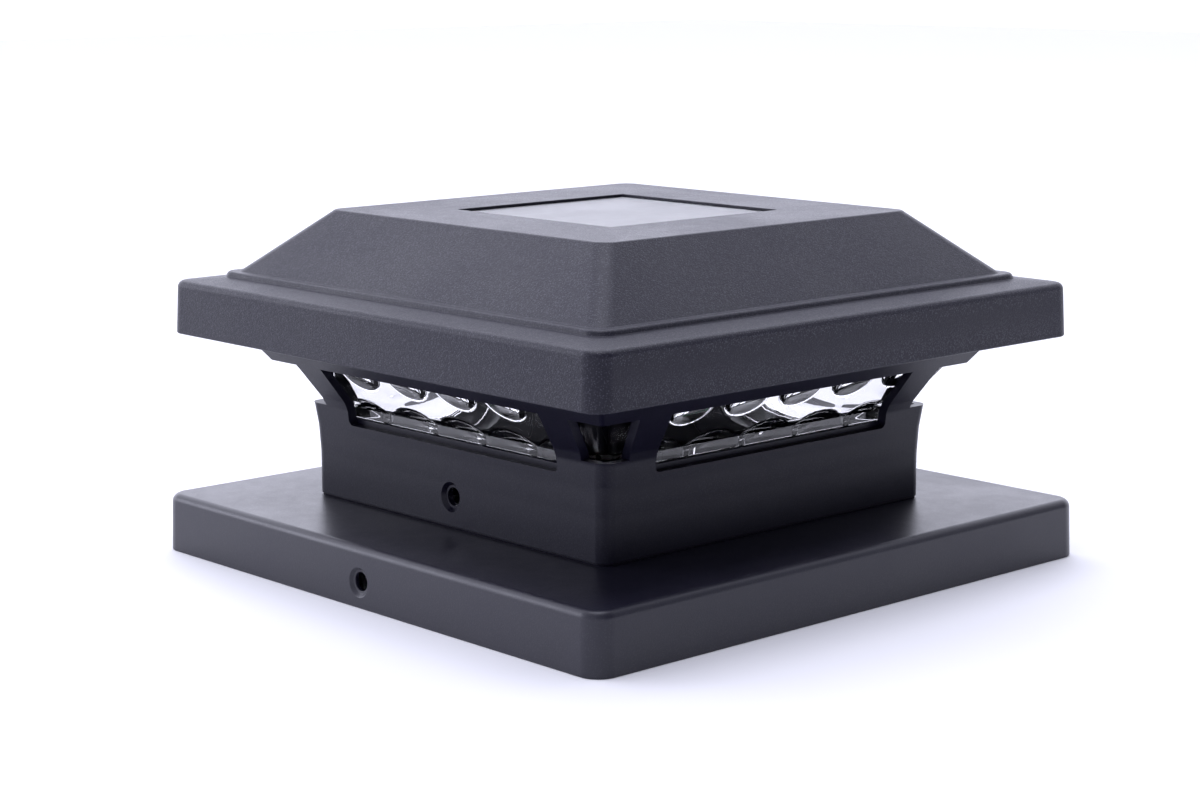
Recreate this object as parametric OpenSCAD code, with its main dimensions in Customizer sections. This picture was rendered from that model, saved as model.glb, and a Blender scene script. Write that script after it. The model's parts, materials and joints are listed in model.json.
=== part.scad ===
// Solar deck post cap light for small and large square posts.
// Origin: centre of the skirt's bottom rim, +Z up, millimetres.

/* [Posts] */
// Side of the small square post that the collar fits over
small_post = 88.9; // [84:0.1:100]
// Gap between the small post and the collar, each side
small_post_gap = 1.13; // [0.5:0.01:2]
// Side of the large square post that the skirt fits over
large_post = 139.7; // [136:0.1:160]
// Gap between the large post and the skirt, each side
large_post_gap = 0.8; // [0.3:0.05:2]

/* [Post skirt] */
// Wall of the skirt
skirt_wall = 1.85; // [1.5:0.05:3]
// Height of the skirt
skirt_h = 12.9; // [11:0.1:20]
// How much the skirt narrows towards its top, each side
skirt_draft = 0.3; // [0:0.05:0.8]
// Thickness of the skirt's top plate
skirt_plate = 2.2; // [1.8:0.1:4]
// Radius of the skirt's upright corners
skirt_corner = 4.7; // [3:0.1:10]
// Radius of the skirt's top edge
skirt_edge = 2.2; // [0.8:0.1:3]
// Depth of the stiffening ribs under the top plate
skirt_rib = 2; // [1:0.1:3]
// Thickness of those ribs
skirt_rib_t = 1.4; // [1:0.1:3]
// Depth of the seat that the collar stands in
seat_depth = 0.6; // [0.3:0.1:1]
// Clearance round the collar in its seat
seat_gap = 0.3; // [0.2:0.05:0.6]

/* [Side screw holes] */
// Radius of the side screw holes
hole_r = 2.0; // [1.5:0.1:2.4]
// Radius of their counterbores
bore_r = 3.25; // [2.8:0.05:4]
// Depth of their counterbores
bore_depth = 0.8; // [0.4:0.1:1.2]
// Height of the skirt's screw holes
skirt_hole_z = 5.5; // [4.5:0.1:7]
// Height of the collar's screw holes above the skirt
collar_hole_up = 6.7; // [5:0.1:9]

/* [Collar and window frame] */
// Wall of the collar and the frame
frame_wall = 2.2; // [1.8:0.1:3]
// Height of the collar above the skirt, up to the flare
collar_h = 20.6; // [18:0.1:30]
// Corner radius of the collar
collar_corner = 3; // [1.5:0.1:5]
// Height of the flare, from the collar to the rim
flare_h = 17.8; // [16:0.1:22]
// How far the flare leans out beyond the collar at the rim
flare_out = 12.6; // [11:0.1:15]
// Width of the flat rim that closes the eave
rim_w = 7.5; // [7:0.1:10]
// Thickness of that rim
rim_t = 2; // [1.5:0.1:3]
// Thickness of the deck ledge that stands on the small post
deck_t = 2.6; // [2.2:0.1:4]
// Width of the deck ledge inside the collar
deck_w = 8; // [6:0.5:12]
// Seam between the collar and the skirt: height
seam_h = 0.4; // [0.2:0.05:0.8]
// Seam between the collar and the skirt: depth
seam_in = 0.5; // [0.2:0.05:0.8]

/* [Windows] */
// Height of the window sill above the deck
sill_up = 0.3; // [0.1:0.1:1]
// Half width of a side window at the sill
window_half = 34.5; // [28:0.1:36]
// How much wider each side window is at its top, each side
window_spread = 1.4; // [0:0.1:2]
// Corner radius at the window sill
window_corner = 1.3; // [0.5:0.1:2.5]
// Height of the windows, from the sill to their top
window_h = 12.9; // [11:0.1:13.5]
// Width of the post between a side window and a corner opening
mullion_w = 7.5; // [5:0.1:9]
// How much the corner opening narrows from bottom to top, each side
mullion_lean = 2.7; // [0:0.1:4]

/* [Lens] */
// Wall of the clear lens
lens_wall = 2.3; // [2.2:0.1:3]
// How much thicker the lens's wall is at its top
lens_taper = 1.3; // [0:0.1:2]
// Gap between the lens and the frame
lens_gap = 0.2; // [0.15:0.05:0.4]
// Height of the plain upright band at the foot of the lens
lens_band = 4; // [2:0.1:5]
// Outer corner radius of the lens
lens_corner = 3.5; // [2.5:0.1:6]
// Height of the step round the foot of the lens
foot_step_h = 1.7; // [0.5:0.1:2]
// Depth of the step round the foot of the lens
foot_step_d = 1.1; // [0.4:0.1:1.2]
// Distance between the flutes, and between the pillows
pillow_pitch = 16; // [12:0.5:20]
// Width of a flute in the lens's lower row
flute_w = 15.4; // [8:0.2:16]
// Height of a flute up to its round head
flute_h = 2.8; // [1:0.1:5]
// Height of a flute's round head
flute_head_h = 4.2; // [2:0.1:6]
// How far the flutes stand out of the inner face
flute_d = 1.2; // [0.2:0.05:1.6]
// Width of a pillow in the upper row
top_pillow_w = 13.2; // [8:0.2:18]
// Height of a pillow in the upper row
top_pillow_h = 8.8; // [4:0.2:10]
// How far the pillows of the upper row stand out of the inner face
top_pillow_d = 1.6; // [0.4:0.1:2]

/* [Tray and LEDs] */
// Height of the tray's floor above the top of the windows
tray_up = 2.8; // [2:0.1:4]
// Thickness of the tray's floor
tray_t = 2.4; // [2.2:0.1:3]
// Wall of the tray
tray_wall = 1.6; // [1.2:0.1:2]
// Gap between the tray and the frame
tray_gap = 0.4; // [0.3:0.05:0.8]
// Thickness of the tray's flange on the rim
flange_t = 1.5; // [1.2:0.1:2.5]
// Side of the square LED board under the tray
led_board = 24; // [18:0.5:26]
// Thickness of the LED board
led_board_t = 1.6; // [1:0.1:2]
// Length of an LED
led_l = 3.5; // [2:0.1:5]
// Width of an LED
led_w = 2.8; // [2:0.1:4]
// Height of an LED
led_h = 1.6; // [0.8:0.1:2]

/* [Roof] */
// Gap between the rim and the inside of the eave
roof_gap = 0.3; // [0.2:0.05:0.6]
// Wall of the roof
roof_wall = 2.35; // [2:0.05:3]
// How far the eave hangs below the rim
eave_drop = 2; // [1:0.1:4]
// Height of the eave's upright face
eave_h = 10.1; // [8:0.1:14]
// Radius of the edge above the eave's face
eave_edge = 1.5; // [0.8:0.1:2.5]
// Corner radius of the eave
eave_corner = 4.3; // [3:0.1:8]
// Width of the shelf between the eave's edge and the bead
shelf_w = 6.5; // [4:0.1:10]
// Rise of that shelf
shelf_rise = 1.1; // [0.5:0.1:2]
// Width of the raised bead
bead_w = 2; // [1.2:0.1:3]
// Height of the raised bead
bead_h = 1.15; // [0.5:0.05:2]
// Width of the roof slope, seen from above
slope_run = 15.23; // [12:0.1:20]
// Rise of the roof slope
slope_rise = 13.45; // [10:0.1:16]
// Hip radius at the foot of the slope
hip_foot = 4.0; // [2:0.1:6]
// Hip radius at the top of the slope
hip_top = 3.3; // [2:0.1:5]

/* [Solar panel] */
// Side of the square solar panel
panel = 49; // [40:0.5:60]
// Gap round the panel
panel_gap = 0.3; // [0.2:0.05:0.6]
// How far the panel's face lies below the roof top
panel_sink = 0.6; // [0.3:0.1:1.5]
// Thickness of the panel's clear front
glass_t = 1.6; // [1:0.1:3]
// Thickness of the solar cells
cell_t = 0.3; // [0.2:0.1:0.6]
// Thickness of the panel's backing board
backing_t = 1.2; // [0.8:0.1:2]
// Thickness of the foam ring under the panel
foam_t = 0.8; // [0.5:0.1:1.5]
// Width of the foam ring and of the ledge that it lies on
ledge_w = 5.5; // [4:0.5:8]
// Number of cell strips
cell_count = 4; // [2:1:8]

/* [Battery] */
// Radius of the round battery
battery_r = 7.15; // [6.8:0.05:7.4]
// Length of the battery with its nub
battery_l = 50.5; // [48:0.1:51]
// Length of the coil spring, pressed in
spring_l = 6.5; // [5:0.1:7]
// Clearance round the battery in its bay
battery_gap = 0.6; // [0.3:0.05:0.8]
// Distance of the battery's axis from the centre line
battery_off = 25; // [24.5:0.1:26]
// Wall of the battery box
bay_wall = 1.6; // [1.2:0.1:2]
// Thickness of the battery door
door_t = 1.6; // [1.4:0.1:1.7]
// Clearance round the battery door
door_gap = 0.3; // [0.2:0.05:0.5]
// Thickness of a battery contact plate
contact_t = 0.5; // [0.3:0.1:0.8]

/* [Switch] */
// Distance of the switch from the centre line
switch_off = 26; // [20:0.5:32]
// Travel of the switch knob, each way
switch_travel = 2; // [1:0.1:2.5]
// Side of the switch knob along its travel
knob_l = 3.4; // [2.5:0.1:4]
// Side of the switch knob across its travel
knob_w = 3; // [2:0.1:3.5]

/* [Boards and screws] */
// Length of the control board
board_l = 44; // [42:0.5:48]
// Width of the control board
board_w = 26; // [22:0.5:28]
// Thickness of the control board
board_t = 1.6; // [1:0.1:2]
// Radius of a roof screw's shank
roof_screw_r = 1.5; // [1.2:0.05:1.6]
// Radius of a small screw's shank
small_screw_r = 1.1; // [0.9:0.05:1.2]
// Radius of a lead
lead_r = 0.65; // [0.5:0.05:0.8]

/* [Hidden] */
$fn = 48;

// Colours
black_plastic = [0.13, 0.13, 0.15];
dark_plastic = [0.07, 0.07, 0.08];
roof_grey = [0.20, 0.20, 0.23];
steel = [0.72, 0.72, 0.72];

// Levels
skirt_half = large_post / 2 + large_post_gap + skirt_wall;
skirt_in = large_post / 2 + large_post_gap;
collar_in = small_post / 2 + small_post_gap;
collar_half = collar_in + frame_wall;
collar_z = skirt_h - seat_depth;
flare_z = skirt_h + collar_h;
rim_z = flare_z + flare_h;
rim_top = rim_z + rim_t;
sill_z = flare_z - 3.2;
deck_top = sill_z - sill_up;
deck_z = deck_top - deck_t;
window_top = sill_z + window_h;
rim_half = collar_half + flare_out + rim_w;
tray_z = window_top + tray_up;
tray_top = tray_z + tray_t;

// The frame's outer face: height and half width of each break in the profile
flare_profile = [
    [skirt_h + seam_h, collar_half],
    [flare_z - 10.9, collar_half],
    [flare_z - 5.5, collar_half + 0.22],
    [flare_z, collar_half + 0.82],
    [flare_z + 2, collar_half + 1.62],
    [flare_z + 0.55 * flare_h, collar_half + 0.553 * flare_out],
    [rim_z, collar_half + flare_out]
];

// The lens's outer face above its foot, and its inner face without the pillows
lens_profile = [
    [deck_top, collar_in + 0.12],
    [deck_top + lens_band, collar_in + 0.32],
    [flare_z + 2, collar_in + 1.62 - lens_gap],
    [flare_z + 0.55 * flare_h, collar_in + 0.553 * flare_out - lens_gap],
    [tray_z, lookup(tray_z, flare_profile) - frame_wall - lens_gap]
];
// The housing's lip, in the step of the lens's foot
lip_half = lens_profile[0][1] - foot_step_d + lens_gap;
lip_top = deck_top + foot_step_h - lens_gap;
lens_inner = [
    [deck_top, lens_profile[0][1] - lens_wall],
    [deck_top + lens_band, lens_profile[1][1] - lens_wall],
    [flare_z + 2, lens_profile[2][1] - lens_wall],
    [tray_z, lens_profile[4][1] - lens_wall - lens_taper]
];

// Rows on the lens's inner face: height of the middle or of the head's foot, place of one along
// the side, half width, half height or height of the head, depth, and whether the row is flutes
pillow_rows = [
    [deck_top + flute_h, 0.5, flute_w / 2, flute_head_h, flute_d, true],
    [tray_z - 1.6, 5.2, top_pillow_w / 2, top_pillow_h / 2, top_pillow_d, false]
];

// Tray
flange_half = rim_half - 1.7;
flange_top = rim_top + flange_t;
screw_at = collar_half + flare_out + 2.6;
tray_half = lookup(tray_z, flare_profile) - frame_wall - tray_gap;
tray_in = lookup(tray_top, flare_profile) - frame_wall - tray_gap - tray_wall;
tray_rim = collar_in + flare_out - tray_gap;
led_z = tray_z - led_board_t;
led_at = led_board / 2 - 4;
led_boss_h = 2.6;
lead_hole_r = 3.2;

// Roof
roof_in = rim_half + roof_gap;
eave_half = roof_in + roof_wall;
eave_z = rim_z - eave_drop;
eave_top = eave_z + eave_h;
shelf_z = eave_top + eave_edge;
shelf_half = eave_half - 0.4 - eave_edge;
bead_half = shelf_half - shelf_w;
bead_top = shelf_z + shelf_rise + bead_h;
slope_half = bead_half - bead_w;
flat_half = slope_half - slope_run;
roof_top = bead_top + slope_rise + 0.2;
seal_h = 2;
seal_rib = 1.6;
boss_top = shelf_z - 0.8;
roof_screw_l = boss_top - 1.4 - rim_z;

// Solar panel
glass_z = roof_top - panel_sink - glass_t;
cell_z = glass_z - cell_t;
backing_z = cell_z - backing_t;
foam_z = backing_z - foam_t;
recess_half = panel / 2 + panel_gap;
ledge_in = recess_half - ledge_w;

// Battery
bay_half_l = (battery_l + spring_l + 2 * contact_t) / 2;
bay_half_w = battery_r + battery_gap;
battery_z = tray_top + battery_r + 1.2;
bay_top = battery_z + bay_half_w;
battery_end = bay_half_l - contact_t;
nub_l = 1.4;
nub_r = 2.75;
door_screw_x = bay_half_l + bay_wall + 2.2;
door_half_l = door_screw_x + 2.7;
door_half_w = bay_half_w + 3.7;
door_top = tray_z + door_t;
seal_t = tray_top - door_top;
bay_flange = 2.1;
pad_t = battery_z - battery_r - door_top - 0.15;
tab_w = 4;
tab_top = bay_top + bay_wall + 2.4;

// Control board
post_h = 4;
board_y = 1;
board_z = tray_top + post_h;
board_top = board_z + board_t;
board_screw_x = 17;

// Switch
switch_l = 12;
switch_w = 6;
switch_h = 4.2;
lug_l = 19;
lug_t = 0.6;
peg_x = 7.9;
pin_top = tray_top + switch_h + lug_t + 3;

// Points of a level square ring with rounded corners
corner_steps = 6;
function ring(h, z, r) = [
    for (k = [0:3]) for (j = [0:corner_steps])
        let (a = 90 * k + 90 * j / corner_steps, c = h - r)
        [(k == 0 || k == 3 ? c : -c) + r * cos(a), (k < 2 ? c : -c) + r * sin(a), z]
];

// A closed shell through rings of equal length; the last ring joins the first
module skin(rings) {
    m = len(rings[0]);
    n = len(rings);
    points = [for (one = rings) for (p = one) p];
    faces = [
        for (i = [0:n - 1]) for (j = [0:m - 1])
            let (
                a = i * m + j,
                b = ((i + 1) % n) * m + j,
                c = ((i + 1) % n) * m + (j + 1) % m,
                d = i * m + (j + 1) % m
            )
            for (face = [[a, b, c], [a, c, d]]) face
    ];
    polyhedron(points = points, faces = faces, convexity = 10);
}

// A straight box between two corners
module block(low, high) {
    translate(low) cube(high - low);
}

// The same shape on all four sides, or at all four corners
module four_ways() {
    for (k = [0:3]) rotate([0, 0, 90 * k]) children();
}

function unit(v) = v / norm(v);

// Points of a smooth lead between two ends, each with its own direction and a short straight
lead_steps = 12;
lead_straight = 0.8;
function lead_path(start, leave, finish, arrive) =
    let (a = start + lead_straight * unit(leave), b = finish + lead_straight * unit(arrive))
    concat(
        [start],
        [
            for (i = [0:lead_steps])
                let (t = i / lead_steps, u = 1 - t)
                u * u * u * a + 3 * u * u * t * (a + leave)
                + 3 * u * t * t * (b + arrive) + t * t * t * b
        ],
        [finish]
    );

// A round lead along a path; side is a direction that the path never takes
module tube(path, r, side) {
    sides = 8;
    n = len(path);
    points = [
        for (i = [0:n - 1])
            let (
                along = unit(path[min(i + 1, n - 1)] - path[max(i - 1, 0)]),
                u = unit(cross(along, side)),
                v = cross(along, u)
            )
            for (j = [0:sides - 1])
                path[i] + r * (cos(360 * j / sides) * u + sin(360 * j / sides) * v)
    ];
    walls = [
        for (i = [0:n - 2]) for (j = [0:sides - 1])
            let (a = i * sides + j, b = i * sides + (j + 1) % sides)
            for (face = [[a, a + sides, b + sides], [a, b + sides, b]]) face
    ];
    first = [[for (j = [0:sides - 1]) j]];
    last = [[for (j = [sides - 1:-1:0]) (n - 1) * sides + j]];
    polyhedron(points = points, faces = concat(walls, first, last), convexity = 4);
}

// A pan-head screw that points up from the underside of its head
module screw(shank_r, shank_l, head_r, head_h) {
    difference() {
        union() {
            cylinder(r = shank_r, h = shank_l);
            translate([0, 0, -head_h]) cylinder(r = head_r, h = head_h);
        }
        for (turn = [0, 90])
            rotate([0, 0, turn])
                translate([-head_r * 0.55, -head_r * 0.12, -head_h - 1])
                    cube([head_r * 1.1, head_r * 0.24, 1 + head_h * 0.55]);
    }
}

// A counterbored screw hole through an upright wall on the -Y side
module side_hole(wall_face, z, wall) {
    translate([0, -wall_face - 1, z]) rotate([-90, 0, 0]) cylinder(r = bore_r, h = 1 + bore_depth);
    translate([0, -wall_face - 1, z]) rotate([-90, 0, 0]) cylinder(r = hole_r, h = wall + 2);
}

module post_skirt() {
    fillet_steps = 5;
    top_half = skirt_half - skirt_draft;
    outer = [
        for (i = [0:fillet_steps])
            let (a = 90 * i / fillet_steps)
            ring(
                top_half - skirt_edge + skirt_edge * cos(a),
                skirt_h - skirt_edge + skirt_edge * sin(a),
                skirt_corner - skirt_edge * 0.35 * (1 - cos(a))
            )
    ];
    seat = collar_half - seam_in + seat_gap;
    color(black_plastic)
    difference() {
        union() {
            skin(concat(
                [ring(skirt_half, 0, skirt_corner)],
                outer,
                [
                    ring(seat, skirt_h, collar_corner),
                    ring(seat, collar_z, collar_corner),
                    ring(collar_in, collar_z, 1),
                    ring(collar_in, skirt_h - skirt_plate, 1),
                    ring(skirt_in, skirt_h - skirt_plate, skirt_corner - skirt_wall),
                    ring(skirt_in, 0, skirt_corner - skirt_wall)
                ]
            ));
            four_ways()
                for (x = [-36, 0, 36])
                    block(
                        [x - skirt_rib_t / 2, -skirt_in - 0.5, skirt_h - skirt_plate - skirt_rib],
                        [x + skirt_rib_t / 2, -collar_in - 1.5, skirt_h - skirt_plate + 0.5]
                    );
        }
        for (turn = [0, 180])
            rotate([0, 0, turn]) side_hole(skirt_half, skirt_hole_z, skirt_wall + 0.5);
    }
}

// Outline of a side window, seen from outside: x across, y up
module window_shape() {
    rise = sill_z + 4.7;
    left = [
        for (a = [270:-15:180])
            [
                -window_half + window_corner + window_corner * cos(a),
                sill_z + window_corner + window_corner * sin(a)
            ]
    ];
    right = [for (i = [len(left) - 1:-1:0]) [-left[i][0], left[i][1]]];
    polygon(concat(
        left,
        [[-window_half, rise], [-window_half - window_spread, window_top]],
        [[window_half + window_spread, window_top], [window_half, rise]],
        right
    ));
}

// The space cut away at one corner of the frame, above the collar
module corner_opening() {
    low = window_half + mullion_w;
    high = low + mullion_lean;
    far = rim_half + 5;
    z = flare_z + 0.4;
    function square_at(a, level) = [
        [a, -a, level], [a, -far, level], [far, -far, level], [far, -a, level]
    ];
    polyhedron(
        points = concat(square_at(low, z), square_at(high, window_top)),
        faces = [
            [0, 1, 2, 3], [7, 6, 5, 4],
            [0, 4, 5, 1], [1, 5, 6, 2], [2, 6, 7, 3], [3, 7, 4, 0]
        ]
    );
}

module window_frame() {
    outer = [
        for (i = [0:len(flare_profile) - 1])
            ring(
                flare_profile[i][1],
                flare_profile[i][0],
                i < 4 ? collar_corner : (i == 4 ? collar_corner * 0.7 : 0.8)
            )
    ];
    inner = [
        for (i = [len(flare_profile) - 1:-1:3])
            ring(flare_profile[i][1] - frame_wall, flare_profile[i][0], 0.6)
    ];
    difference() {
        union() {
            skin(concat(
                [
                    ring(collar_half - seam_in, collar_z, collar_corner - seam_in),
                    ring(collar_half - seam_in, skirt_h + seam_h, collar_corner - seam_in)
                ],
                outer,
                [
                    ring(rim_half, rim_z, eave_corner - roof_wall),
                    ring(rim_half, rim_top, eave_corner - roof_wall),
                    ring(collar_in + flare_out, rim_top, 0.6)
                ],
                inner,
                [
                    ring(collar_in + 0.35, deck_top, 0.6),
                    ring(collar_in - deck_w, deck_top, 0.6),
                    ring(collar_in - deck_w, deck_z, 0.6),
                    ring(collar_in, deck_z, 0.6),
                    ring(collar_in, collar_z, 0.6)
                ]
            ));
        }
        four_ways()
            translate([0, -collar_in + 4, 0])
                rotate([90, 0, 0])
                    linear_extrude(height = rim_half) window_shape();
        four_ways() corner_opening();
        for (turn = [0, 180])
            rotate([0, 0, turn])
                side_hole(collar_half, skirt_h + collar_hole_up, frame_wall);
        four_ways()
            translate([screw_at, screw_at, rim_z - 1]) cylinder(r = roof_screw_r + 0.2, h = rim_t + 2);
    }
}

// The lip that stands on the ledge in front of the lens's foot
module lens_lip() {
    skin([
        ring(collar_in + 0.6, deck_top - 0.2, 0.6),
        ring(collar_in + 0.6, lip_top, 0.6),
        ring(lip_half, lip_top, lens_corner - lens_gap),
        ring(lip_half, deck_top - 0.2, lens_corner - lens_gap)
    ]);
}

module housing() {
    color(black_plastic) {
        window_frame();
        lens_lip();
    }
}

// A lens ring: rounded corners, and points along each side that follow the pillows
side_steps = 24;
function lens_ring(h, z, r, pillows = false) = [
    for (k = [0:3])
        let (c = h - r, turn = 90 * k)
        for (p = concat(
            [for (j = [0:4]) let (a = -90 + 22.5 * j) [c + r * cos(a), -c + r * sin(a)]],
            [
                for (j = [1:side_steps - 1])
                    let (y = -c + 2 * c * j / side_steps)
                    [h - (pillows ? bulge(y, z) : 0), y]
            ]
        ))
            [p[0] * cos(turn) - p[1] * sin(turn), p[0] * sin(turn) + p[1] * cos(turn), z]
];

// How far the flutes and pillows stand out of the inner face at a place on a side
function bulge(y, z) = max([for (row = pillow_rows) row_bulge(row, y - row[1], z - row[0])]);

function row_bulge(row, along, up) =
    let (
        across = (along - pillow_pitch * round(along / pillow_pitch)) / row[2],
        rise = (row[5] ? max(up, 0) : up) / row[3]
    )
    row[4] * max(0, 1 - across * across - rise * rise);

module lens() {
    step_in = lens_profile[0][1] - foot_step_d;
    foot = [
        lens_ring(step_in, deck_top, lens_corner),
        lens_ring(step_in, deck_top + foot_step_h, lens_corner),
        lens_ring(lens_profile[0][1], deck_top + foot_step_h, lens_corner)
    ];
    outer = [for (i = [1:4]) lens_ring(lens_profile[i][1], lens_profile[i][0], lens_corner)];
    levels = [tray_z, for (z = [tray_z - 1:-1.7:deck_top + 1]) z, deck_top];
    inner = [for (z = levels) lens_ring(lookup(z, lens_inner), z, lens_corner - 2, true)];
    color([0.85, 0.9, 0.95, 0.35]) skin(concat(foot, outer, inner));
}

module tray() {
    color(dark_plastic)
    difference() {
        union() {
            skin([
                ring(tray_half, tray_z, 0.6),
                ring(tray_rim, rim_z, 0.6),
                ring(tray_rim, rim_top, 0.6),
                ring(flange_half, rim_top, 2),
                ring(flange_half, flange_top, 2),
                ring(tray_rim - tray_wall, flange_top, 0.6),
                ring(tray_rim - tray_wall, rim_z, 0.6),
                ring(tray_in, tray_top, 0.6),
                ring(tray_in - 2, tray_z, 0.6)
            ]);
            block([1 - tray_in, 1 - tray_in, tray_z], [tray_in - 1, tray_in - 1, tray_top]);
            for (side = [-1, 1]) {
                translate([side * board_screw_x, board_y, tray_top - 0.5])
                    cylinder(r = 2.6, h = post_h + 0.5);
                translate([side * led_at, 0, tray_top - 0.5]) cylinder(r = 2.2, h = led_boss_h + 0.5);
                translate([side * peg_x, switch_off, tray_top - 0.5]) cylinder(r = 0.9, h = lug_t + 1.3);
            }
        }
        four_ways()
            translate([screw_at, screw_at, rim_top - 1]) cylinder(r = roof_screw_r + 0.2, h = flange_t + 2);
        block(
            [-door_half_l - door_gap, -battery_off - door_half_w - door_gap, tray_z - 1],
            [door_half_l + door_gap, -battery_off + door_half_w + door_gap, tray_top + 1]
        );
        block(
            [-switch_travel - knob_l / 2 - 0.6, switch_off - knob_w / 2 - 0.6, tray_z - 1],
            [switch_travel + knob_l / 2 + 0.6, switch_off + knob_w / 2 + 0.6, tray_top + 1]
        );
        box_screw_places()
            translate([0, 0, tray_z - 1]) cylinder(r = small_screw_r + 0.1, h = tray_t + 2);
        for (side = [-1, 1]) {
            translate([side * board_screw_x, board_y, tray_top])
                cylinder(r = small_screw_r + 0.1, h = post_h + 1);
            translate([side * led_at, 0, tray_z - 1])
                cylinder(r = small_screw_r + 0.1, h = tray_t + led_boss_h + 2);
        }
        translate([0, 0, tray_z - 1]) cylinder(r = lead_hole_r, h = tray_t + 2);
    }
}

module led_board() {
    color("darkgreen")
    difference() {
        block([-led_board / 2, -led_board / 2, led_z], [led_board / 2, led_board / 2, tray_z]);
        for (side = [-1, 1])
            translate([side * led_at, 0, led_z - 1]) cylinder(r = small_screw_r + 0.15, h = led_board_t + 2);
    }
}

module leds() {
    color([0.95, 0.85, 0.35])
        four_ways()
            block(
                [led_at - led_l / 2, led_at - led_w / 2, led_z - led_h],
                [led_at + led_l / 2, led_at + led_w / 2, led_z]
            );
}

module led_screws() {
    color(steel)
        for (side = [-1, 1])
            translate([side * led_at, 0, led_z])
                screw(small_screw_r, led_board_t + tray_t + led_boss_h - 0.4, 2.1, 1);
}

// The places of the battery box's two fixing screws
module box_screw_places() {
    for (side = [-1, 1])
        translate([side * 27, -battery_off + side * (door_half_w + bay_flange + 2.2), 0]) children();
}

module battery_box() {
    flange_l = door_half_l + bay_flange;
    flange_w = door_half_w + bay_flange;
    color(dark_plastic)
    difference() {
        union() {
            translate([0, -battery_off, 0]) {
                block([-flange_l, -flange_w, tray_top], [flange_l, flange_w, tray_top + bay_wall]);
                block(
                    [-bay_half_l - bay_wall, -bay_half_w - bay_wall, tray_top],
                    [bay_half_l + bay_wall, bay_half_w + bay_wall, bay_top + bay_wall]
                );
                for (side = [-1, 1])
                    translate([side * door_screw_x, 0, tray_top]) cylinder(r = 2.3, h = 8);
            }
            box_screw_places() translate([0, 0, tray_top]) cylinder(r = 3.4, h = bay_wall);
        }
        translate([0, -battery_off, 0]) {
            block([-bay_half_l, -bay_half_w, tray_top - 1], [bay_half_l, bay_half_w, bay_top]);
            for (side = [-1, 1]) {
                translate([side * door_screw_x, 0, tray_top - 1]) cylinder(r = small_screw_r + 0.1, h = 8);
                translate([side * (bay_half_l - contact_t / 2), 0, bay_top - 1])
                    block(
                        [-contact_t / 2 - 0.1, -tab_w / 2 - 0.2, 0],
                        [contact_t / 2 + 0.1, tab_w / 2 + 0.2, bay_wall + 2]
                    );
            }
        }
        box_screw_places() translate([0, 0, tray_top - 1]) cylinder(r = small_screw_r + 0.1, h = 4);
    }
}

module battery() {
    color("darkgreen")
        translate([battery_end - battery_l, -battery_off, battery_z])
            rotate([0, 90, 0]) cylinder(r = battery_r, h = battery_l - nub_l);
}

module battery_nub() {
    color(steel)
        translate([battery_end - nub_l, -battery_off, battery_z])
            rotate([0, 90, 0]) cylinder(r = nub_r, h = nub_l);
}

module contact_plates() {
    color(steel)
        for (side = [-1, 1])
            translate([side * (bay_half_l - contact_t / 2), -battery_off, 0]) {
                block(
                    [-contact_t / 2, -bay_half_w + 0.3, battery_z - 6],
                    [contact_t / 2, bay_half_w - 0.3, bay_top - 0.2]
                );
                block([-contact_t / 2, -tab_w / 2, bay_top - 0.3], [contact_t / 2, tab_w / 2, tab_top]);
            }
}

// Coil spring: it starts on its plate and ends on the battery's flat end
module contact_spring() {
    turns = 4;
    wire_r = 0.4;
    steps = 64;
    start_x = contact_t - bay_half_l;
    run = battery_end - battery_l - start_x - 2 * wire_r;
    path = [
        for (i = [0:steps])
            let (t = i / steps, a = 360 * turns * t, r = 4.6 - 1.4 * t)
            [start_x + wire_r + run * t, -battery_off + r * cos(a), battery_z + r * sin(a)]
    ];
    color(steel) tube(path, wire_r, [1, 0, 0]);
}

module battery_door() {
    color(black_plastic)
    difference() {
        block(
            [-door_half_l, -battery_off - door_half_w, tray_z],
            [door_half_l, -battery_off + door_half_w, door_top]
        );
        for (side = [-1, 1])
            translate([side * door_screw_x, -battery_off, tray_z - 1]) {
                cylinder(r = small_screw_r + 0.15, h = door_t + 2);
                cylinder(r = 2.3, h = 1 + 1.1);
            }
        for (x = [-6:3:6])
            block(
                [x - 0.6, -battery_off - door_half_w + 2, tray_z - 1],
                [x + 0.6, -battery_off - door_half_w + 8, tray_z + 0.5]
            );
    }
}

module door_seal() {
    color("dimgray")
    difference() {
        block(
            [-door_half_l + 0.4, -battery_off - door_half_w + 0.4, door_top],
            [door_half_l - 0.4, -battery_off + door_half_w - 0.4, tray_top]
        );
        block(
            [-bay_half_l - 0.4, -battery_off - bay_half_w - 0.4, door_top - 1],
            [bay_half_l + 0.4, -battery_off + bay_half_w + 0.4, tray_top + 1]
        );
        for (side = [-1, 1])
            translate([side * door_screw_x, -battery_off, door_top - 1])
                cylinder(r = small_screw_r + 0.4, h = seal_t + 2);
    }
}

module door_pad() {
    color([0.25, 0.25, 0.27])
        block([-16, -battery_off - 4, door_top], [16, -battery_off + 4, door_top + pad_t]);
}

module door_screws() {
    color(steel)
        for (side = [-1, 1])
            translate([side * door_screw_x, -battery_off, tray_z + 1.1])
                screw(small_screw_r, 6, 2.1, 1);
}

module box_screws() {
    color(steel)
        box_screw_places()
            translate([0, 0, tray_top + bay_wall])
                rotate([180, 0, 0]) screw(small_screw_r, tray_t + bay_wall - 0.6, 2.1, 1.2);
}

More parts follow.
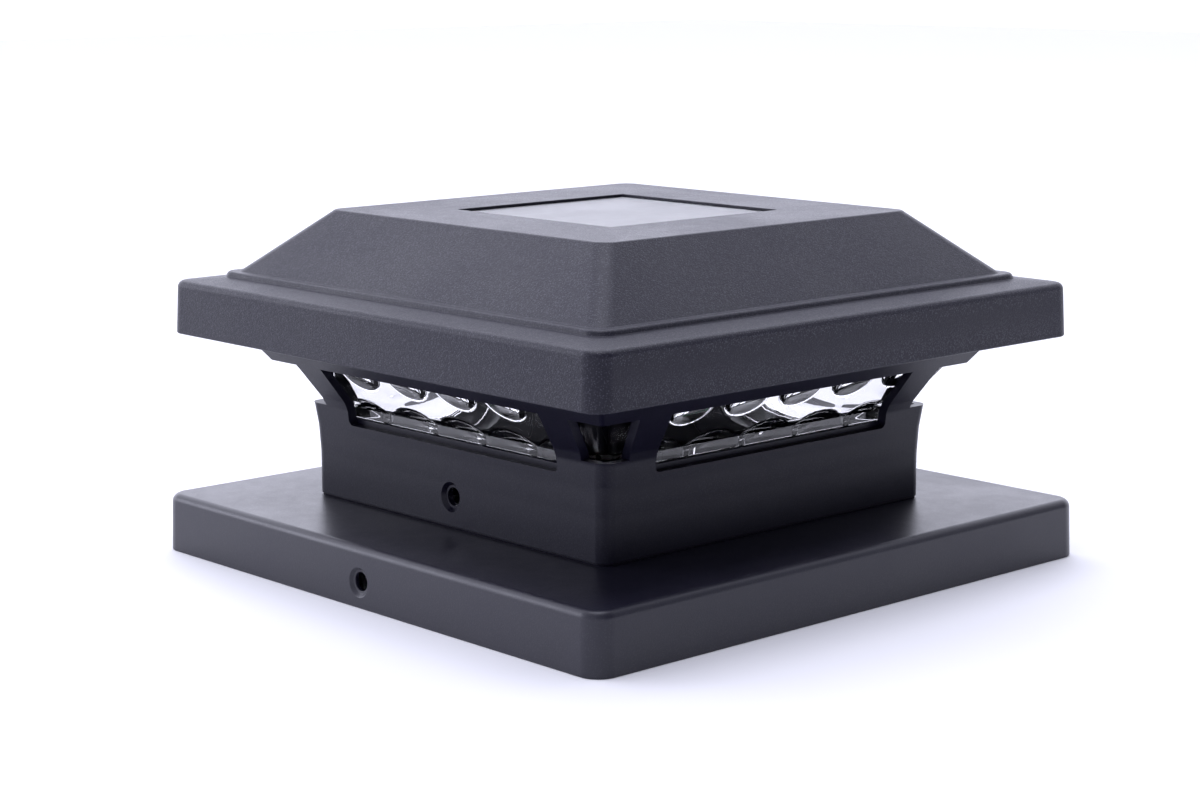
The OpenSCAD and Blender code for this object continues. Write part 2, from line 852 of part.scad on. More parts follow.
module switch_body() {
    slot_l = switch_travel + knob_l / 2 + 0.3;
    color(dark_plastic)
    difference() {
        block(
            [-switch_l / 2, switch_off - switch_w / 2, tray_top + lug_t],
            [switch_l / 2, switch_off + switch_w / 2, tray_top + lug_t + switch_h]
        );
        block(
            [-slot_l, switch_off - knob_w / 2 - 0.3, tray_top],
            [slot_l, switch_off + knob_w / 2 + 0.3, tray_top + lug_t + 2.3]
        );
    }
}

module switch_frame() {
    color(steel) {
        difference() {
            block([-lug_l / 2, switch_off - 3, tray_top], [lug_l / 2, switch_off + 3, tray_top + lug_t]);
            for (side = [-1, 1])
                translate([side * peg_x, switch_off, tray_top - 1]) cylinder(r = 1.05, h = lug_t + 2);
            block(
                [-switch_travel - knob_l / 2 - 0.3, switch_off - knob_w / 2 - 0.3, tray_top - 1],
                [switch_travel + knob_l / 2 + 0.3, switch_off + knob_w / 2 + 0.3, tray_top + lug_t + 1]
            );
        }
        for (x = [-3, 0, 3])
            block(
                [x - 0.4, switch_off - 0.25, tray_top + lug_t + switch_h],
                [x + 0.4, switch_off + 0.25, pin_top]
            );
    }
}

module switch_knob() {
    color("white")
    union() {
        block(
            [-knob_l / 2, switch_off - knob_w / 2, tray_z + 0.7],
            [knob_l / 2, switch_off + knob_w / 2, tray_top + lug_t + 2]
        );
    }
}

module control_board() {
    color("darkgreen")
    difference() {
        block(
            [-board_l / 2, board_y - board_w / 2, board_z],
            [board_l / 2, board_y + board_w / 2, board_top]
        );
        for (side = [-1, 1])
            translate([side * board_screw_x, board_y, board_z - 1])
                cylinder(r = small_screw_r + 0.15, h = board_t + 2);
    }
}

module board_parts() {
    translate([0, board_y, board_top]) {
        color("black") block([-4, -3, 0], [1, 1, 1.6]);
        color([0.3, 0.3, 0.32]) translate([8, 6, 0]) cylinder(r = 3.2, h = 4.5);
        color("navy") translate([-12, -8, 0]) cylinder(r = 2.5, h = 7);
        color("tan") block([9, -9, 0], [12.2, -7.4, 1.2]);
        color("black") block([-14, 5, 0], [-9, 9, 1.5]);
    }
}

module board_screws() {
    color(steel)
        for (side = [-1, 1])
            translate([side * board_screw_x, board_y, board_top])
                rotate([180, 0, 0]) screw(small_screw_r, board_t + post_h - 0.4, 2.1, 1.3);
}

module roof_cap() {
    edge_steps = 4;
    wall_in = eave_half - 0.4 - roof_wall;
    edge = [
        for (i = [0:edge_steps])
            let (a = 90 * i / edge_steps)
            ring(
                shelf_half + eave_edge * cos(a),
                eave_top + eave_edge * sin(a),
                eave_corner - eave_edge * (1 - cos(a)) * 0.5
            )
    ];
    bead = [
        ring(bead_half + 0.35, shelf_z + shelf_rise - 0.05, hip_foot),
        ring(bead_half, shelf_z + shelf_rise + 0.15, hip_foot),
        ring(bead_half - 0.15, bead_top - 0.45, hip_foot),
        ring(bead_half - 0.45, bead_top - 0.12, hip_foot),
        ring(bead_half - 0.95, bead_top, hip_foot),
        ring(slope_half + 0.2, bead_top, hip_foot),
        ring(slope_half - 0.15, bead_top + 0.13, hip_foot)
    ];
    flat = [
        ring(flat_half + 0.25, roof_top - 0.42, hip_top),
        ring(flat_half - 0.2, roof_top - 0.12, hip_top),
        ring(flat_half - 0.8, roof_top, hip_top)
    ];
    under = roof_wall * 0.95;
    inside = [
        ring(recess_half, roof_top, 0.5),
        ring(recess_half, foam_z, 0.5),
        ring(ledge_in, foam_z, 0.5),
        ring(ledge_in, foam_z - under, 0.5),
        ring(recess_half + under, foam_z - under, 1),
        ring(recess_half + under, roof_top - under, 1),
        ring(flat_half - 1, roof_top - under, 2),
        ring(slope_half - 1.6, bead_top - under, 2.4),
        ring(bead_half - 0.6, shelf_z + shelf_rise - under, 2.4),
        ring(wall_in - eave_edge, shelf_z - under, 2.4),
        ring(wall_in, eave_top - under + eave_edge, 2.2),
        ring(wall_in, rim_top + seal_h + seal_rib, 2.2),
        ring(rim_half - 1.9, rim_top + seal_h + seal_rib, 1.2),
        ring(rim_half - 1.9, rim_top + seal_h, 1.2),
        ring(roof_in, rim_top + seal_h, 2.2),
        ring(roof_in, eave_z, 2.2)
    ];
    color(roof_grey)
    difference() {
        union() {
            skin(concat([ring(eave_half, eave_z, eave_corner)], edge, bead, flat, inside));
            four_ways() {
                translate([screw_at, screw_at, flange_top]) cylinder(r = 3.2, h = boss_top - flange_top);
                block([screw_at - 0.7, screw_at, flange_top + 2], [screw_at + 0.7, wall_in + 0.5, boss_top]);
                block([screw_at, screw_at - 0.7, flange_top + 2], [wall_in + 0.5, screw_at + 0.7, boss_top]);
                rotate([0, 0, 45])
                    translate([0, 0, roof_top - under - 1.5])
                        block([recess_half * 1.5, -0.7, 0], [flat_half * 1.33, 0.7, 2]);
            }
        }
        four_ways()
            translate([screw_at, screw_at, flange_top - 1])
                cylinder(r = roof_screw_r + 0.1, h = boss_top - flange_top);
    }
}

module roof_seal() {
    color("dimgray")
    difference() {
        translate([0, 0, rim_top]) linear_extrude(height = seal_h) rounded(rim_half - 0.1, 2.1);
        translate([0, 0, rim_top - 1]) linear_extrude(height = seal_h + 2) rounded(rim_half - 1.5, 1);
    }
}

// Flat square outline with round corners
module rounded(half, r) {
    polygon([
        for (k = [0:3]) for (j = [0:6])
            let (a = 90 * k + 15 * j, c = half - r)
            [(k == 0 || k == 3 ? c : -c) + r * cos(a), (k < 2 ? c : -c) + r * sin(a)]
    ]);
}

module roof_screws() {
    color(steel)
        four_ways()
            translate([screw_at, screw_at, rim_z]) screw(roof_screw_r, roof_screw_l, 2.9, 2);
}

module solar_glass() {
    color([0.75, 0.85, 0.95, 0.4])
        block([-panel / 2, -panel / 2, glass_z], [panel / 2, panel / 2, glass_z + glass_t]);
}

module solar_cells() {
    margin = 1.6;
    pitch = (panel - 2 * margin) / cell_count;
    color("midnightblue")
        for (i = [0:cell_count - 1])
            block(
                [margin - panel / 2 + i * pitch + 0.3, margin - panel / 2, cell_z],
                [margin - panel / 2 + (i + 1) * pitch - 0.3, panel / 2 - margin, glass_z]
            );
}

module solar_board() {
    color("black")
        block([-panel / 2, -panel / 2, backing_z], [panel / 2, panel / 2, cell_z]);
}

module panel_seal() {
    color("dimgray")
    difference() {
        block([-panel / 2, -panel / 2, foam_z], [panel / 2, panel / 2, backing_z]);
        block([-ledge_in, -ledge_in, foam_z - 1], [ledge_in, ledge_in, backing_z + 1]);
    }
}

module panel_leads() {
    for (side = [-1, 1])
        color(side > 0 ? "red" : "black")
            tube(
                lead_path(
                    [side * 5, 0, backing_z], [0, 0, -10],
                    [side * 5, board_y + 1, board_top], [0, 0, 8]
                ),
                lead_r,
                [1, 0, 0]
            );
}

module battery_leads() {
    for (side = [-1, 1])
        color(side > 0 ? "red" : "black")
            tube(
                lead_path(
                    [side * (bay_half_l - contact_t / 2), tab_w / 2 - battery_off, tab_top - 1],
                    [0, 10, 0],
                    [side * (board_l / 2 - 2), board_y + 2 - board_w / 2, board_top], [0, 0, 14]
                ),
                lead_r,
                [1, 0, 0]
            );
}

module led_leads() {
    for (side = [-1, 1])
        color(side > 0 ? "red" : "white")
            tube(
                lead_path(
                    [side * 1.1, 0, tray_z], [0, 0, 2.4],
                    [side * 4, board_y + 4, board_z], [0, 0, -2.4]
                ),
                lead_r,
                [1, 0, 0]
            );
}

module switch_leads() {
    for (side = [-1, 1])
        color(side > 0 ? "blue" : "yellow")
            tube(
                lead_path(
                    [side * 3, switch_off, pin_top], [0, 0, 7],
                    [side * 8, board_y + board_w / 2 - 1.5, board_top], [0, 0, 7]
                ),
                lead_r,
                [1, 0, 0]
            );
}

post_skirt();
housing();
lens();
tray();
led_board();
leds();
battery_box();
battery();
battery_nub();
contact_plates();
contact_spring();
battery_door();
door_seal();
door_pad();
door_screws();
box_screws();
switch_body();
switch_frame();
switch_knob();
control_board();
board_parts();
board_screws();
led_screws();
roof_cap();
roof_seal();
roof_screws();
solar_glass();
solar_cells();
solar_board();
panel_seal();
panel_leads();
battery_leads();
led_leads();
switch_leads();
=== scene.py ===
"""Looks of a solar deck post cap light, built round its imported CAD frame.

The light is a hipped roof with a flush solar panel, over a flared window frame with a clear
moulded lens, on a wide post skirt. The mesh tools take metres, in the frame of the CAD part. The
sizes that the classes hold are millimetres.
"""

import json
import logging
import math
from collections.abc import Callable, Iterable, Sequence
from dataclasses import dataclass
from enum import Enum
from functools import cache, partial

import bmesh
import bpy
from mathutils import Matrix, Vector

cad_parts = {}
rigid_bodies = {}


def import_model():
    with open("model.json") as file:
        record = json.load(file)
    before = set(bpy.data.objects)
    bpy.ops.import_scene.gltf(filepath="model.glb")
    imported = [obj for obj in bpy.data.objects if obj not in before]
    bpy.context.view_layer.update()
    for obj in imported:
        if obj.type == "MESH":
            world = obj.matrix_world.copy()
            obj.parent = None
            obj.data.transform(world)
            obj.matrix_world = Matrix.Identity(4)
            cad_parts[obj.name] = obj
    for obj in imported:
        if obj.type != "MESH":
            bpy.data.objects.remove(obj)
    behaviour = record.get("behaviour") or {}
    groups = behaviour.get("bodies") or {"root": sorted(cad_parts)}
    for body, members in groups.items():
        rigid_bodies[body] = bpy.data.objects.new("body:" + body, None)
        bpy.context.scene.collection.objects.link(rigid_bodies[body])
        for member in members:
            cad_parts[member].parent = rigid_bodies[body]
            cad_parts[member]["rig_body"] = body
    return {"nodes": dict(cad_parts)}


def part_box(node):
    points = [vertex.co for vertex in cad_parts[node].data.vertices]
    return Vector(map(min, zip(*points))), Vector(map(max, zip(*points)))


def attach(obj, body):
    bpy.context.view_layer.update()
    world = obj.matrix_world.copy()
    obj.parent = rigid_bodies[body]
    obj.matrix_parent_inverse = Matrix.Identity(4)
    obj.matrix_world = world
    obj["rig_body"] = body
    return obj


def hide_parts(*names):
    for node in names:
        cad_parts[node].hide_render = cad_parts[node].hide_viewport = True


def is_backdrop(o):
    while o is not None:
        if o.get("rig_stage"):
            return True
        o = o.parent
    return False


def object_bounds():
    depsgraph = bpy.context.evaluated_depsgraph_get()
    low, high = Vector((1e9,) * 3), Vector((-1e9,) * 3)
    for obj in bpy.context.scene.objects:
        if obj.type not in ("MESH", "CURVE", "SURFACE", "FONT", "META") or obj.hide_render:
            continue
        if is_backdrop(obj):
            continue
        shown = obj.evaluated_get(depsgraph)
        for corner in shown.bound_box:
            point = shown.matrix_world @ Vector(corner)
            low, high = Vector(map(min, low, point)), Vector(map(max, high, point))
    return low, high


LOG = logging.getLogger("post_cap_light")
MM = 0.001
TAU = 2 * math.pi
CORNERS = ((-1, -1), (-1, 1), (1, -1), (1, 1))
FILLET_STEPS = 5
LEAST_CORNER = 0.25 * MM
SOFT_ANGLE = math.radians(32)
SHARP_ANGLE = math.radians(46)
SCREW_AT = 62.98 * MM

Colour = tuple[float, float, float]
Outline = Sequence[tuple[float, float]]
Mesh = bmesh.types.BMesh
Piece = bpy.types.Object
Nodes = dict[str, Piece]
Socket = bpy.types.NodeSocket


class Body(Enum):
    """The bodies that the pieces ride on."""

    SKIRT = "post_skirt"
    UNIT = "light_unit"
    DOOR = "battery_door"
    KNOB = "switch_knob"


class Slot(Enum):
    """The record's material slots."""

    BLACK_ABS = "black_abs"
    ROOF_ABS = "roof_abs"
    CLEAR_LENS = "clear_lens"
    INNER_BLACK = "inner_black"
    LED_PHOSPHOR = "led_phosphor"
    BATTERY_SLEEVE = "battery_sleeve"
    BRIGHT_STEEL = "bright_steel"
    SCREW_STEEL = "screw_steel"
    SEAL_RUBBER = "seal_rubber"
    FOAM_GREY = "foam_grey"
    KNOB_WHITE = "knob_white"
    BOARD_GREEN = "board_green"
    BOARD_BLACK = "board_black"
    COMPONENT_BLACK = "component_black"
    PANEL_FRONT = "panel_front"
    CELL_BLUE = "cell_blue"
    LEAD_RED = "lead_red"
    LEAD_WHITE = "lead_white"
    LEAD_BLUE = "lead_blue"


# ---------------------------------------------------------------- mesh tools


@dataclass(frozen=True)
class Break:
    """One corner of a moulding's cross-section, in metres.

    Attributes:
        half: Half width of the square outline at this corner.
        z: Height of this corner.
        corner: Radius of the outline's upright corners.
        fillet: Radius that rounds this corner of the cross-section.
    """

    half: float
    z: float
    corner: float
    fillet: float = 0.0


def breaks_mm(*rows: tuple[float, ...]) -> list[Break]:
    """Makes corners from rows of half width, height, corner and fillet in millimetres."""
    return [Break(*(value * MM for value in row)) for row in rows]


def metres(points: Outline) -> Outline:
    """Turns points from millimetres into metres."""
    return [(first * MM, second * MM) for first, second in points]


def rounded_profile(breaks: Sequence[Break]) -> list[Break]:
    """Rounds the corners of a closed cross-section.

    Args:
        breaks: Corners of the closed cross-section, in order.

    Returns:
        The levels at which the moulding gets an outline.
    """
    levels: list[Break] = []
    for before, here, after in zip((breaks[-1], *breaks), breaks, (*breaks[1:], breaks[0])):
        if here.fillet == 0:
            levels.append(here)
            continue
        point, *ends = (Vector((at.half, at.z)) for at in (here, before, after))
        back, ahead = ((end - point).normalized() for end in ends)
        half_angle = back.angle(ahead) / 2
        centre = point + (back + ahead).normalized() * here.fillet / math.sin(half_angle)
        start, end = (
            (point + way * here.fillet / math.tan(half_angle) - centre).normalized()
            for way in (back, ahead)
        )
        for step in range(FILLET_STEPS + 1):
            spoke = start.slerp(end, step / FILLET_STEPS, start) * here.fillet + centre
            corner = max(here.corner + spoke.x - here.half, LEAST_CORNER)
            levels.append(Break(spoke.x, spoke.y, corner))
    return levels


def bevel(bm: Mesh, geom: Sequence, offset: float, segments: int, affect: str = "EDGES") -> None:
    """Rounds some of a mesh's edges, or its corners if affect says VERTICES."""
    bmesh.ops.bevel(
        bm, geom=geom, offset=offset, offset_type="OFFSET", segments=segments,
        profile=0.5, affect=affect, material=-1,
    )


def square_loop(bm: Mesh, level: Break, z: float, steps: int) -> list[bmesh.types.BMEdge]:
    """Adds a flat square outline with round corners.

    Args:
        bm: The mesh that gets the outline.
        level: Size of the outline.
        z: Height at which it is drawn.
        steps: Edges in each round corner.

    Returns:
        The edges of the outline.
    """
    there = set(bm.edges)
    place = Matrix.Translation((0, 0, z)) @ Matrix.Rotation(math.pi / 4, 4, "Z")
    square = bmesh.ops.create_circle(
        bm, cap_ends=False, segments=4, radius=level.half * math.sqrt(2), matrix=place
    )
    bevel(bm, square["verts"], level.corner, steps, "VERTICES")
    return [edge for edge in bm.edges if edge not in there]


def ring_shell(breaks: Sequence[Break], steps: int = 12) -> Mesh:
    """Makes a closed moulding by joining square outlines in a ring.

    The outlines are bridged while they lie one above another, since outlines in one plane give
    bridge_loops no direction, and are then moved to their heights.

    Args:
        breaks: Corners of the closed cross-section, in order.
        steps: Edges in each upright corner.

    Returns:
        The moulding.
    """
    bm = bmesh.new()
    levels = rounded_profile(breaks)
    loops = [square_loop(bm, level, step * MM, steps) for step, level in enumerate(levels)]
    rings = [{vert for edge in loop for vert in edge.verts} for loop in loops]
    for here, after in zip(loops, (*loops[1:], loops[0])):
        bmesh.ops.bridge_loops(bm, edges=here + after)
    for ring, level in zip(rings, levels):
        for vert in ring:
            vert.co.z = level.z
    bmesh.ops.recalc_face_normals(bm, faces=bm.faces)
    return bm


def moulding(name: str, *rows: tuple[float, ...], steps: int = 12) -> Piece:
    """Makes an object from the cross-section rows that breaks_mm takes."""
    return as_object(name, ring_shell(breaks_mm(*rows), steps))


def prism(points: Outline, low: float, high: float) -> Mesh:
    """Raises a flat outline into a block.

    Args:
        points: Corners of the outline.
        low: Height of its foot.
        high: Height of its top.

    Returns:
        The block.
    """
    bm = bmesh.new()
    face = bm.faces.new([bm.verts.new((x, y, low)) for x, y in points])
    raised = bmesh.ops.extrude_face_region(bm, geom=[face])
    moved = [item for item in raised["geom"] if isinstance(item, bmesh.types.BMVert)]
    bmesh.ops.translate(bm, vec=(0, 0, high - low), verts=moved)
    bmesh.ops.recalc_face_normals(bm, faces=bm.faces)
    return bm


def block(low: Sequence[float], high: Sequence[float], round_off: float = 0.0) -> Mesh:
    """Makes a box between two corners, with its edges rounded.

    Args:
        low: Lowest corner.
        high: Highest corner.
        round_off: Radius of the edges.

    Returns:
        The box.
    """
    bm = bmesh.new()
    bmesh.ops.create_cube(bm, size=1)
    bmesh.ops.scale(bm, vec=[b - a for a, b in zip(low, high)], verts=bm.verts)
    bmesh.ops.translate(bm, vec=[(a + b) / 2 for a, b in zip(low, high)], verts=bm.verts)
    if round_off:
        bevel(bm, bm.edges[:], round_off, 3)
    return bm


def lathe(outline: Outline, steps: int = 48) -> Mesh:
    """Turns an outline about the Z axis.

    Args:
        outline: Radius and height of each point, from the axis out and back to it.
        steps: Facets round the axis.

    Returns:
        The turned body.
    """
    bm = bmesh.new()
    points = [bm.verts.new((radius, 0, z)) for radius, z in outline]
    edges = [bm.edges.new(pair) for pair in zip(points, points[1:])]
    bmesh.ops.spin(
        bm, geom=points + edges, cent=(0, 0, 0), axis=(0, 0, 1), angle=TAU, steps=steps,
        use_merge=True, use_normal_flip=False, use_duplicate=False,
    )
    bmesh.ops.remove_doubles(bm, verts=bm.verts, dist=1e-7)
    bmesh.ops.recalc_face_normals(bm, faces=bm.faces)
    return bm


def placed(bm: Mesh, matrix: Matrix) -> Mesh:
    """Moves a mesh to its place and returns it."""
    bmesh.ops.transform(bm, matrix=matrix, verts=bm.verts)
    return bm


def at_screw(bm: Mesh) -> Mesh:
    """Moves a mesh to the axis of the first roof screw and returns it."""
    return placed(bm, Matrix.Translation((SCREW_AT, SCREW_AT, 0)))


def all_round(*makers: Callable[[], Mesh]) -> list[Mesh]:
    """Makes the same tools for all four sides or corners.

    Args:
        makers: Each makes one tool for the first side or corner.

    Returns:
        The tools, turned about the Z axis.
    """
    turns = [Matrix.Rotation(turn * TAU / 4, 4, "Z") for turn in range(4)]
    return [placed(make(), turn) for turn in turns for make in makers]


def merged(parts: Iterable[Mesh]) -> Mesh:
    """Puts several meshes into one.

    Args:
        parts: The meshes, which are freed.

    Returns:
        The mesh that holds them all.
    """
    whole = bmesh.new()
    for part in parts:
        kept = bpy.data.meshes.new("part")
        part.to_mesh(kept)
        part.free()
        whole.from_mesh(kept)
        bpy.data.meshes.remove(kept)
    return whole


def as_object(name: str, bm: Mesh) -> Piece:
    """Links a mesh to the scene as an object at the origin.

    Args:
        name: Name of the object.
        bm: Its mesh, which is freed.

    Returns:
        The object.
    """
    mesh = bpy.data.meshes.new(name)
    bm.to_mesh(mesh)
    bm.free()
    piece = bpy.data.objects.new(name, mesh)
    bpy.context.scene.collection.objects.link(piece)
    return piece


def settle(piece: Piece) -> None:
    """Applies the modifiers of a piece to its mesh.

    Args:
        piece: The piece.
    """
    graph = bpy.context.evaluated_depsgraph_get()
    final = bpy.data.meshes.new_from_object(piece.evaluated_get(graph))
    piece.modifiers.clear()
    piece.data = final


def cut(piece: Piece, tools: Iterable[Mesh], join: bool = False) -> None:
    """Cuts solid tools out of a piece, or joins them to it.

    Args:
        piece: The piece.
        tools: The meshes of the tools, which are freed.
        join: Whether the tools are added in place of cut away.
    """
    held = [as_object("tool", tool) for tool in tools]
    for tool in held:
        modifier = piece.modifiers.new("cut", "BOOLEAN")
        modifier.operation = "UNION" if join else "DIFFERENCE"
        modifier.solver = "EXACT"
        modifier.object = tool
    settle(piece)
    for tool in held:
        bpy.data.objects.remove(tool)


def soften(piece: Piece, width: float) -> None:
    """Rounds the sharp edges of a piece and shades it smooth.

    Args:
        piece: The piece.
        width: Width of the rounding, or 0 for shading only.
    """
    if width:
        modifier = piece.modifiers.new("soft edges", "BEVEL")
        modifier.width = width
        modifier.segments = 2
        modifier.limit_method = "ANGLE"
        modifier.angle_limit = SOFT_ANGLE
        modifier.use_clamp_overlap = True
        modifier.miter_outer = "MITER_ARC"
    settle(piece)
    piece.data.shade_smooth()
    piece.data.set_sharp_from_angle(angle=SHARP_ANGLE)
    piece.modifiers.new("flat faces", "WEIGHTED_NORMAL").keep_sharp = True
    settle(piece)


# ---------------------------------------------------------------- shader trees


class Tree:
    """A node tree that is written from left to right."""

    def __init__(self, tree: bpy.types.NodeTree) -> None:
        """Keeps the tree."""
        self.tree = tree

    def add(self, kind: str, **inputs: object) -> bpy.types.Node:
        """Adds a node.

        Args:
            kind: The node's type, without its ShaderNode prefix.
            inputs: Its settings, and values or outputs for its inputs. An input goes by its
                label, with underscores for spaces, or by i and its number.

        Returns:
            The node.
        """
        node = self.tree.nodes.new("ShaderNode" + kind)
        for name, value in inputs.items():
            if name in node.bl_rna.properties and name not in node.inputs:
                setattr(node, name, value)
            else:
                key = int(name[1:]) if name[1:].isdigit() else name.replace("_", " ")
                self.feed(node.inputs[key], value)
        return node

    def feed(self, socket: Socket, value: object) -> None:
        """Sets an input.

        Args:
            socket: The input.
            value: An output to link, a number, or a colour without alpha.
        """
        if isinstance(value, Socket):
            self.tree.links.new(value, socket)
        else:
            socket.default_value = (*value, 1) if socket.type == "RGBA" else value

    def math(self, operation: str, first: object, second: object = 0.0) -> Socket:
        """Adds a Math node and returns its output."""
        return self.add("Math", operation=operation, i0=first, i1=second).outputs[0]

    def line(self, value: object, slope: float, start: object) -> Socket:
        """Returns a start plus a slope times a value."""
        return self.math("ADD", self.math("MULTIPLY", value, slope), start)

    def ramp(self, value: object, low: float, high: float) -> Socket:
        """Maps a value from the span low to high onto 0 to 1, smoothly at both ends."""
        node = self.add("MapRange", interpolation_type="SMOOTHSTEP", i0=value, i1=low, i2=high)
        return node.outputs[0]

    def mix(self, factor: object, first: object, second: object) -> Socket:
        """Mixes two colours and returns the result."""
        node = self.add("Mix", data_type="RGBA", i0=factor, i6=first, i7=second)
        return node.outputs[2]

    def place(self) -> Socket:
        """Returns the object coordinates."""
        return self.add("TexCoord").outputs["Object"]

    def noise(self, scale: object, detail: float, **inputs: object) -> Socket:
        """Adds noise over the object and returns its value."""
        node = self.add("TexNoise", Vector=self.place(), Scale=scale, Detail=detail, **inputs)
        return node.outputs[0]

    def bump(self, height: Socket, depth: float) -> Socket:
        """Turns a height into a normal."""
        return self.add("Bump", Height=height, Distance=depth).outputs[0]


class Surface(Tree):
    """The tree of a new material, round its Principled BSDF."""

    def __init__(self, name: str) -> None:
        """Starts the material.

        Args:
            name: Its name.
        """
        self.material = bpy.data.materials.new(name)
        self.material.use_nodes = True
        super().__init__(self.material.node_tree)

    def set(self, **inputs: object) -> None:
        """Sets inputs of the Principled BSDF, with underscores for the spaces in their labels."""
        for name, value in inputs.items():
            self.feed(self.tree.nodes["Principled BSDF"].inputs[name.replace("_", " ")], value)


@dataclass(frozen=True)
class Group:
    """A shader node group that several finishes share.

    Attributes:
        name: Name of the group.
        size: Default value of its input, the size of the pattern in metres.
        outputs: Names of its outputs.
        build: Draws the group from its tree and its input, and returns its outputs.
    """

    name: str
    size: float
    outputs: tuple[str, ...]
    build: Callable[[Tree, Socket], Sequence[Socket]]

    @cache
    def make(self) -> bpy.types.NodeTree:
        """Draws the group, once for all materials.

        Returns:
            The group's node tree.
        """
        tree = bpy.data.node_groups.new(self.name, "ShaderNodeTree")
        size = tree.interface.new_socket("Size", in_out="INPUT", socket_type="NodeSocketFloat")
        size.default_value = self.size
        for name in self.outputs:
            tree.interface.new_socket(name, in_out="OUTPUT", socket_type="NodeSocketFloat")
        entry = tree.nodes.new("NodeGroupInput")
        leaving = tree.nodes.new("NodeGroupOutput")
        for name, socket in zip(self.outputs, self.build(Tree(tree), entry.outputs["Size"])):
            tree.links.new(socket, leaving.inputs[name])
        return tree

    def on(self, surface: Surface, size: float) -> bpy.types.NodeOutputs:
        """Places the group in a material and returns its outputs."""
        return surface.add("Group", node_tree=self.make(), Size=size).outputs


def build_grain_and_painted_glint(tree: Tree, size: Socket) -> Sequence[Socket]:
    """Draws the spark-eroded grain of a mould: fine pits, and chosen grains that get painted
    glints.

    Args:
        tree: The group's tree.
        size: Size of the grain.

    Returns:
        The height, and the strength of the painted glints on chosen grains.
    """
    scale = tree.math("DIVIDE", 1.0, size)
    pits = tree.noise(scale, 2.0, Roughness=0.6)
    fine = tree.math("MULTIPLY", scale, 0.9)
    cells = tree.add("TexVoronoi", Vector=tree.place(), Scale=fine).outputs
    domes = tree.math("SUBTRACT", 1.0, cells["Distance"])
    chosen = tree.add("SeparateColor", i0=cells["Color"]).outputs[0]
    near = tree.ramp(cells["Distance"], 0.6, 0.15)
    height = tree.line(pits, 0.7, tree.math("MULTIPLY", domes, 0.4))
    # Second output: mask of chosen grains that get a painted highlight in the base colour.
    return height, tree.math("MULTIPLY", tree.ramp(chosen, 0.1, 1.1), near)


def build_patches(tree: Tree, size: Socket) -> Sequence[Socket]:
    """Draws broad soft patches, as handling and flow in the mould leave on plastic.

    Args:
        tree: The group's tree.
        size: Size of the patches.

    Returns:
        The mask of the patches.
    """
    scale = tree.math("DIVIDE", 1.0, size)
    broad = tree.noise(scale, 4.0, Roughness=0.55, Distortion=0.4)
    fine = tree.noise(tree.math("MULTIPLY", scale, 9.0), 2.0)
    blend = tree.line(broad, 0.75, tree.math("MULTIPLY", fine, 0.25))
    return (tree.ramp(blend, 0.32, 0.68),)


GRAIN_AND_GLINT = Group("moulded_grain_and_painted_glint", 0.0004, ("Height", "Painted_Glint"), build_grain_and_painted_glint)
PATCHES = Group("soft_patches", 0.03, ("Mask",), build_patches)


# ---------------------------------------------------------------- finishes


@dataclass(frozen=True)
class Finish:
    """What every kind of finish has: its material's name, and the record's slot for it."""

    name: str
    slot: Slot

    def draw(self, on: Surface) -> None:
        """Draws the finish on a surface."""
        raise NotImplementedError

    @cache
    def material(self) -> bpy.types.Material:
        """Makes the material, once for all pieces that have the finish.

        Returns:
            The material.
        """
        surface = Surface(self.name)
        self.draw(surface)
        return surface.material


@dataclass(frozen=True)
class Moulded(Finish):
    """Textured moulded plastic or rubber, with painted highlights on chosen grains.

    Attributes:
        worn: Colour of the soft patches.
        painted_glint: Colour painted on chosen grains as a painted highlight, which shows by
            painted_glint_share.
        rough: Roughness where the surface is smoothest.
        grain: Size of the grain, which has a depth.
    """

    colour: Colour
    worn: Colour
    painted_glint: Colour
    rough: float
    grain: float
    depth: float
    painted_glint_share: float = 0.5
    specular: float = 0.5

    def draw(self, on: Surface) -> None:
        """Draws the patches, the grain, and the painted glints on chosen grains, which are
        smoother.

        Args:
            on: The surface.
        """
        grain = GRAIN_AND_GLINT.on(on, self.grain * MM)
        patches = PATCHES.on(on, 0.03)["Mask"]
        # Painted highlight: the glint colour is mixed into the base colour on the chosen grains.
        painted_glint_mask = on.math("MULTIPLY", grain["Painted_Glint"], self.painted_glint_share)
        on.set(
            Base_Color=on.mix(painted_glint_mask, on.mix(patches, self.colour, self.worn), self.painted_glint),
            Roughness=on.line(painted_glint_mask, -0.15, on.line(patches, 0.08, self.rough)),
            Specular_IOR_Level=self.specular,
            Normal=on.bump(grain["Height"], self.depth * MM),
        )


@dataclass(frozen=True)
class Clear(Finish):
    """Clear plastic, a little mottled, with the faint ripple that moulding leaves."""

    tint: Colour = (1.0, 1.0, 1.0)
    ior: float = 1.49
    rough: float = 0.0
    ripple: float = 0.002

    def draw(self, on: Surface) -> None:
        """Draws the clear plastic.

        Args:
            on: The surface.
        """
        patches = PATCHES.on(on, 0.02)["Mask"]
        faint = tuple(value * 0.985 for value in self.tint)
        on.set(
            Transmission_Weight=1.0,
            Metallic=0.0,
            IOR=self.ior,
            Base_Color=on.mix(patches, self.tint, faint),
            Roughness=on.line(patches, self.rough * 0.15, self.rough),
            Normal=on.bump(on.noise(260.0, 1.0), self.ripple * MM),
        )


@dataclass(frozen=True)
class Metal(Finish):
    """Plated or turned metal, which has dulled in patches."""

    colour: Colour
    dull: Colour
    rough: float

    def draw(self, on: Surface) -> None:
        """Draws the metal with its dull patches and tool marks."""
        patches = PATCHES.on(on, 0.004)["Mask"]
        on.set(
            Metallic=1.0,
            Base_Color=on.mix(patches, self.colour, self.dull),
            Roughness=on.line(patches, 0.18, self.rough),
            Normal=on.bump(on.noise(5200.0, 2.0), 0.004 * MM),
        )


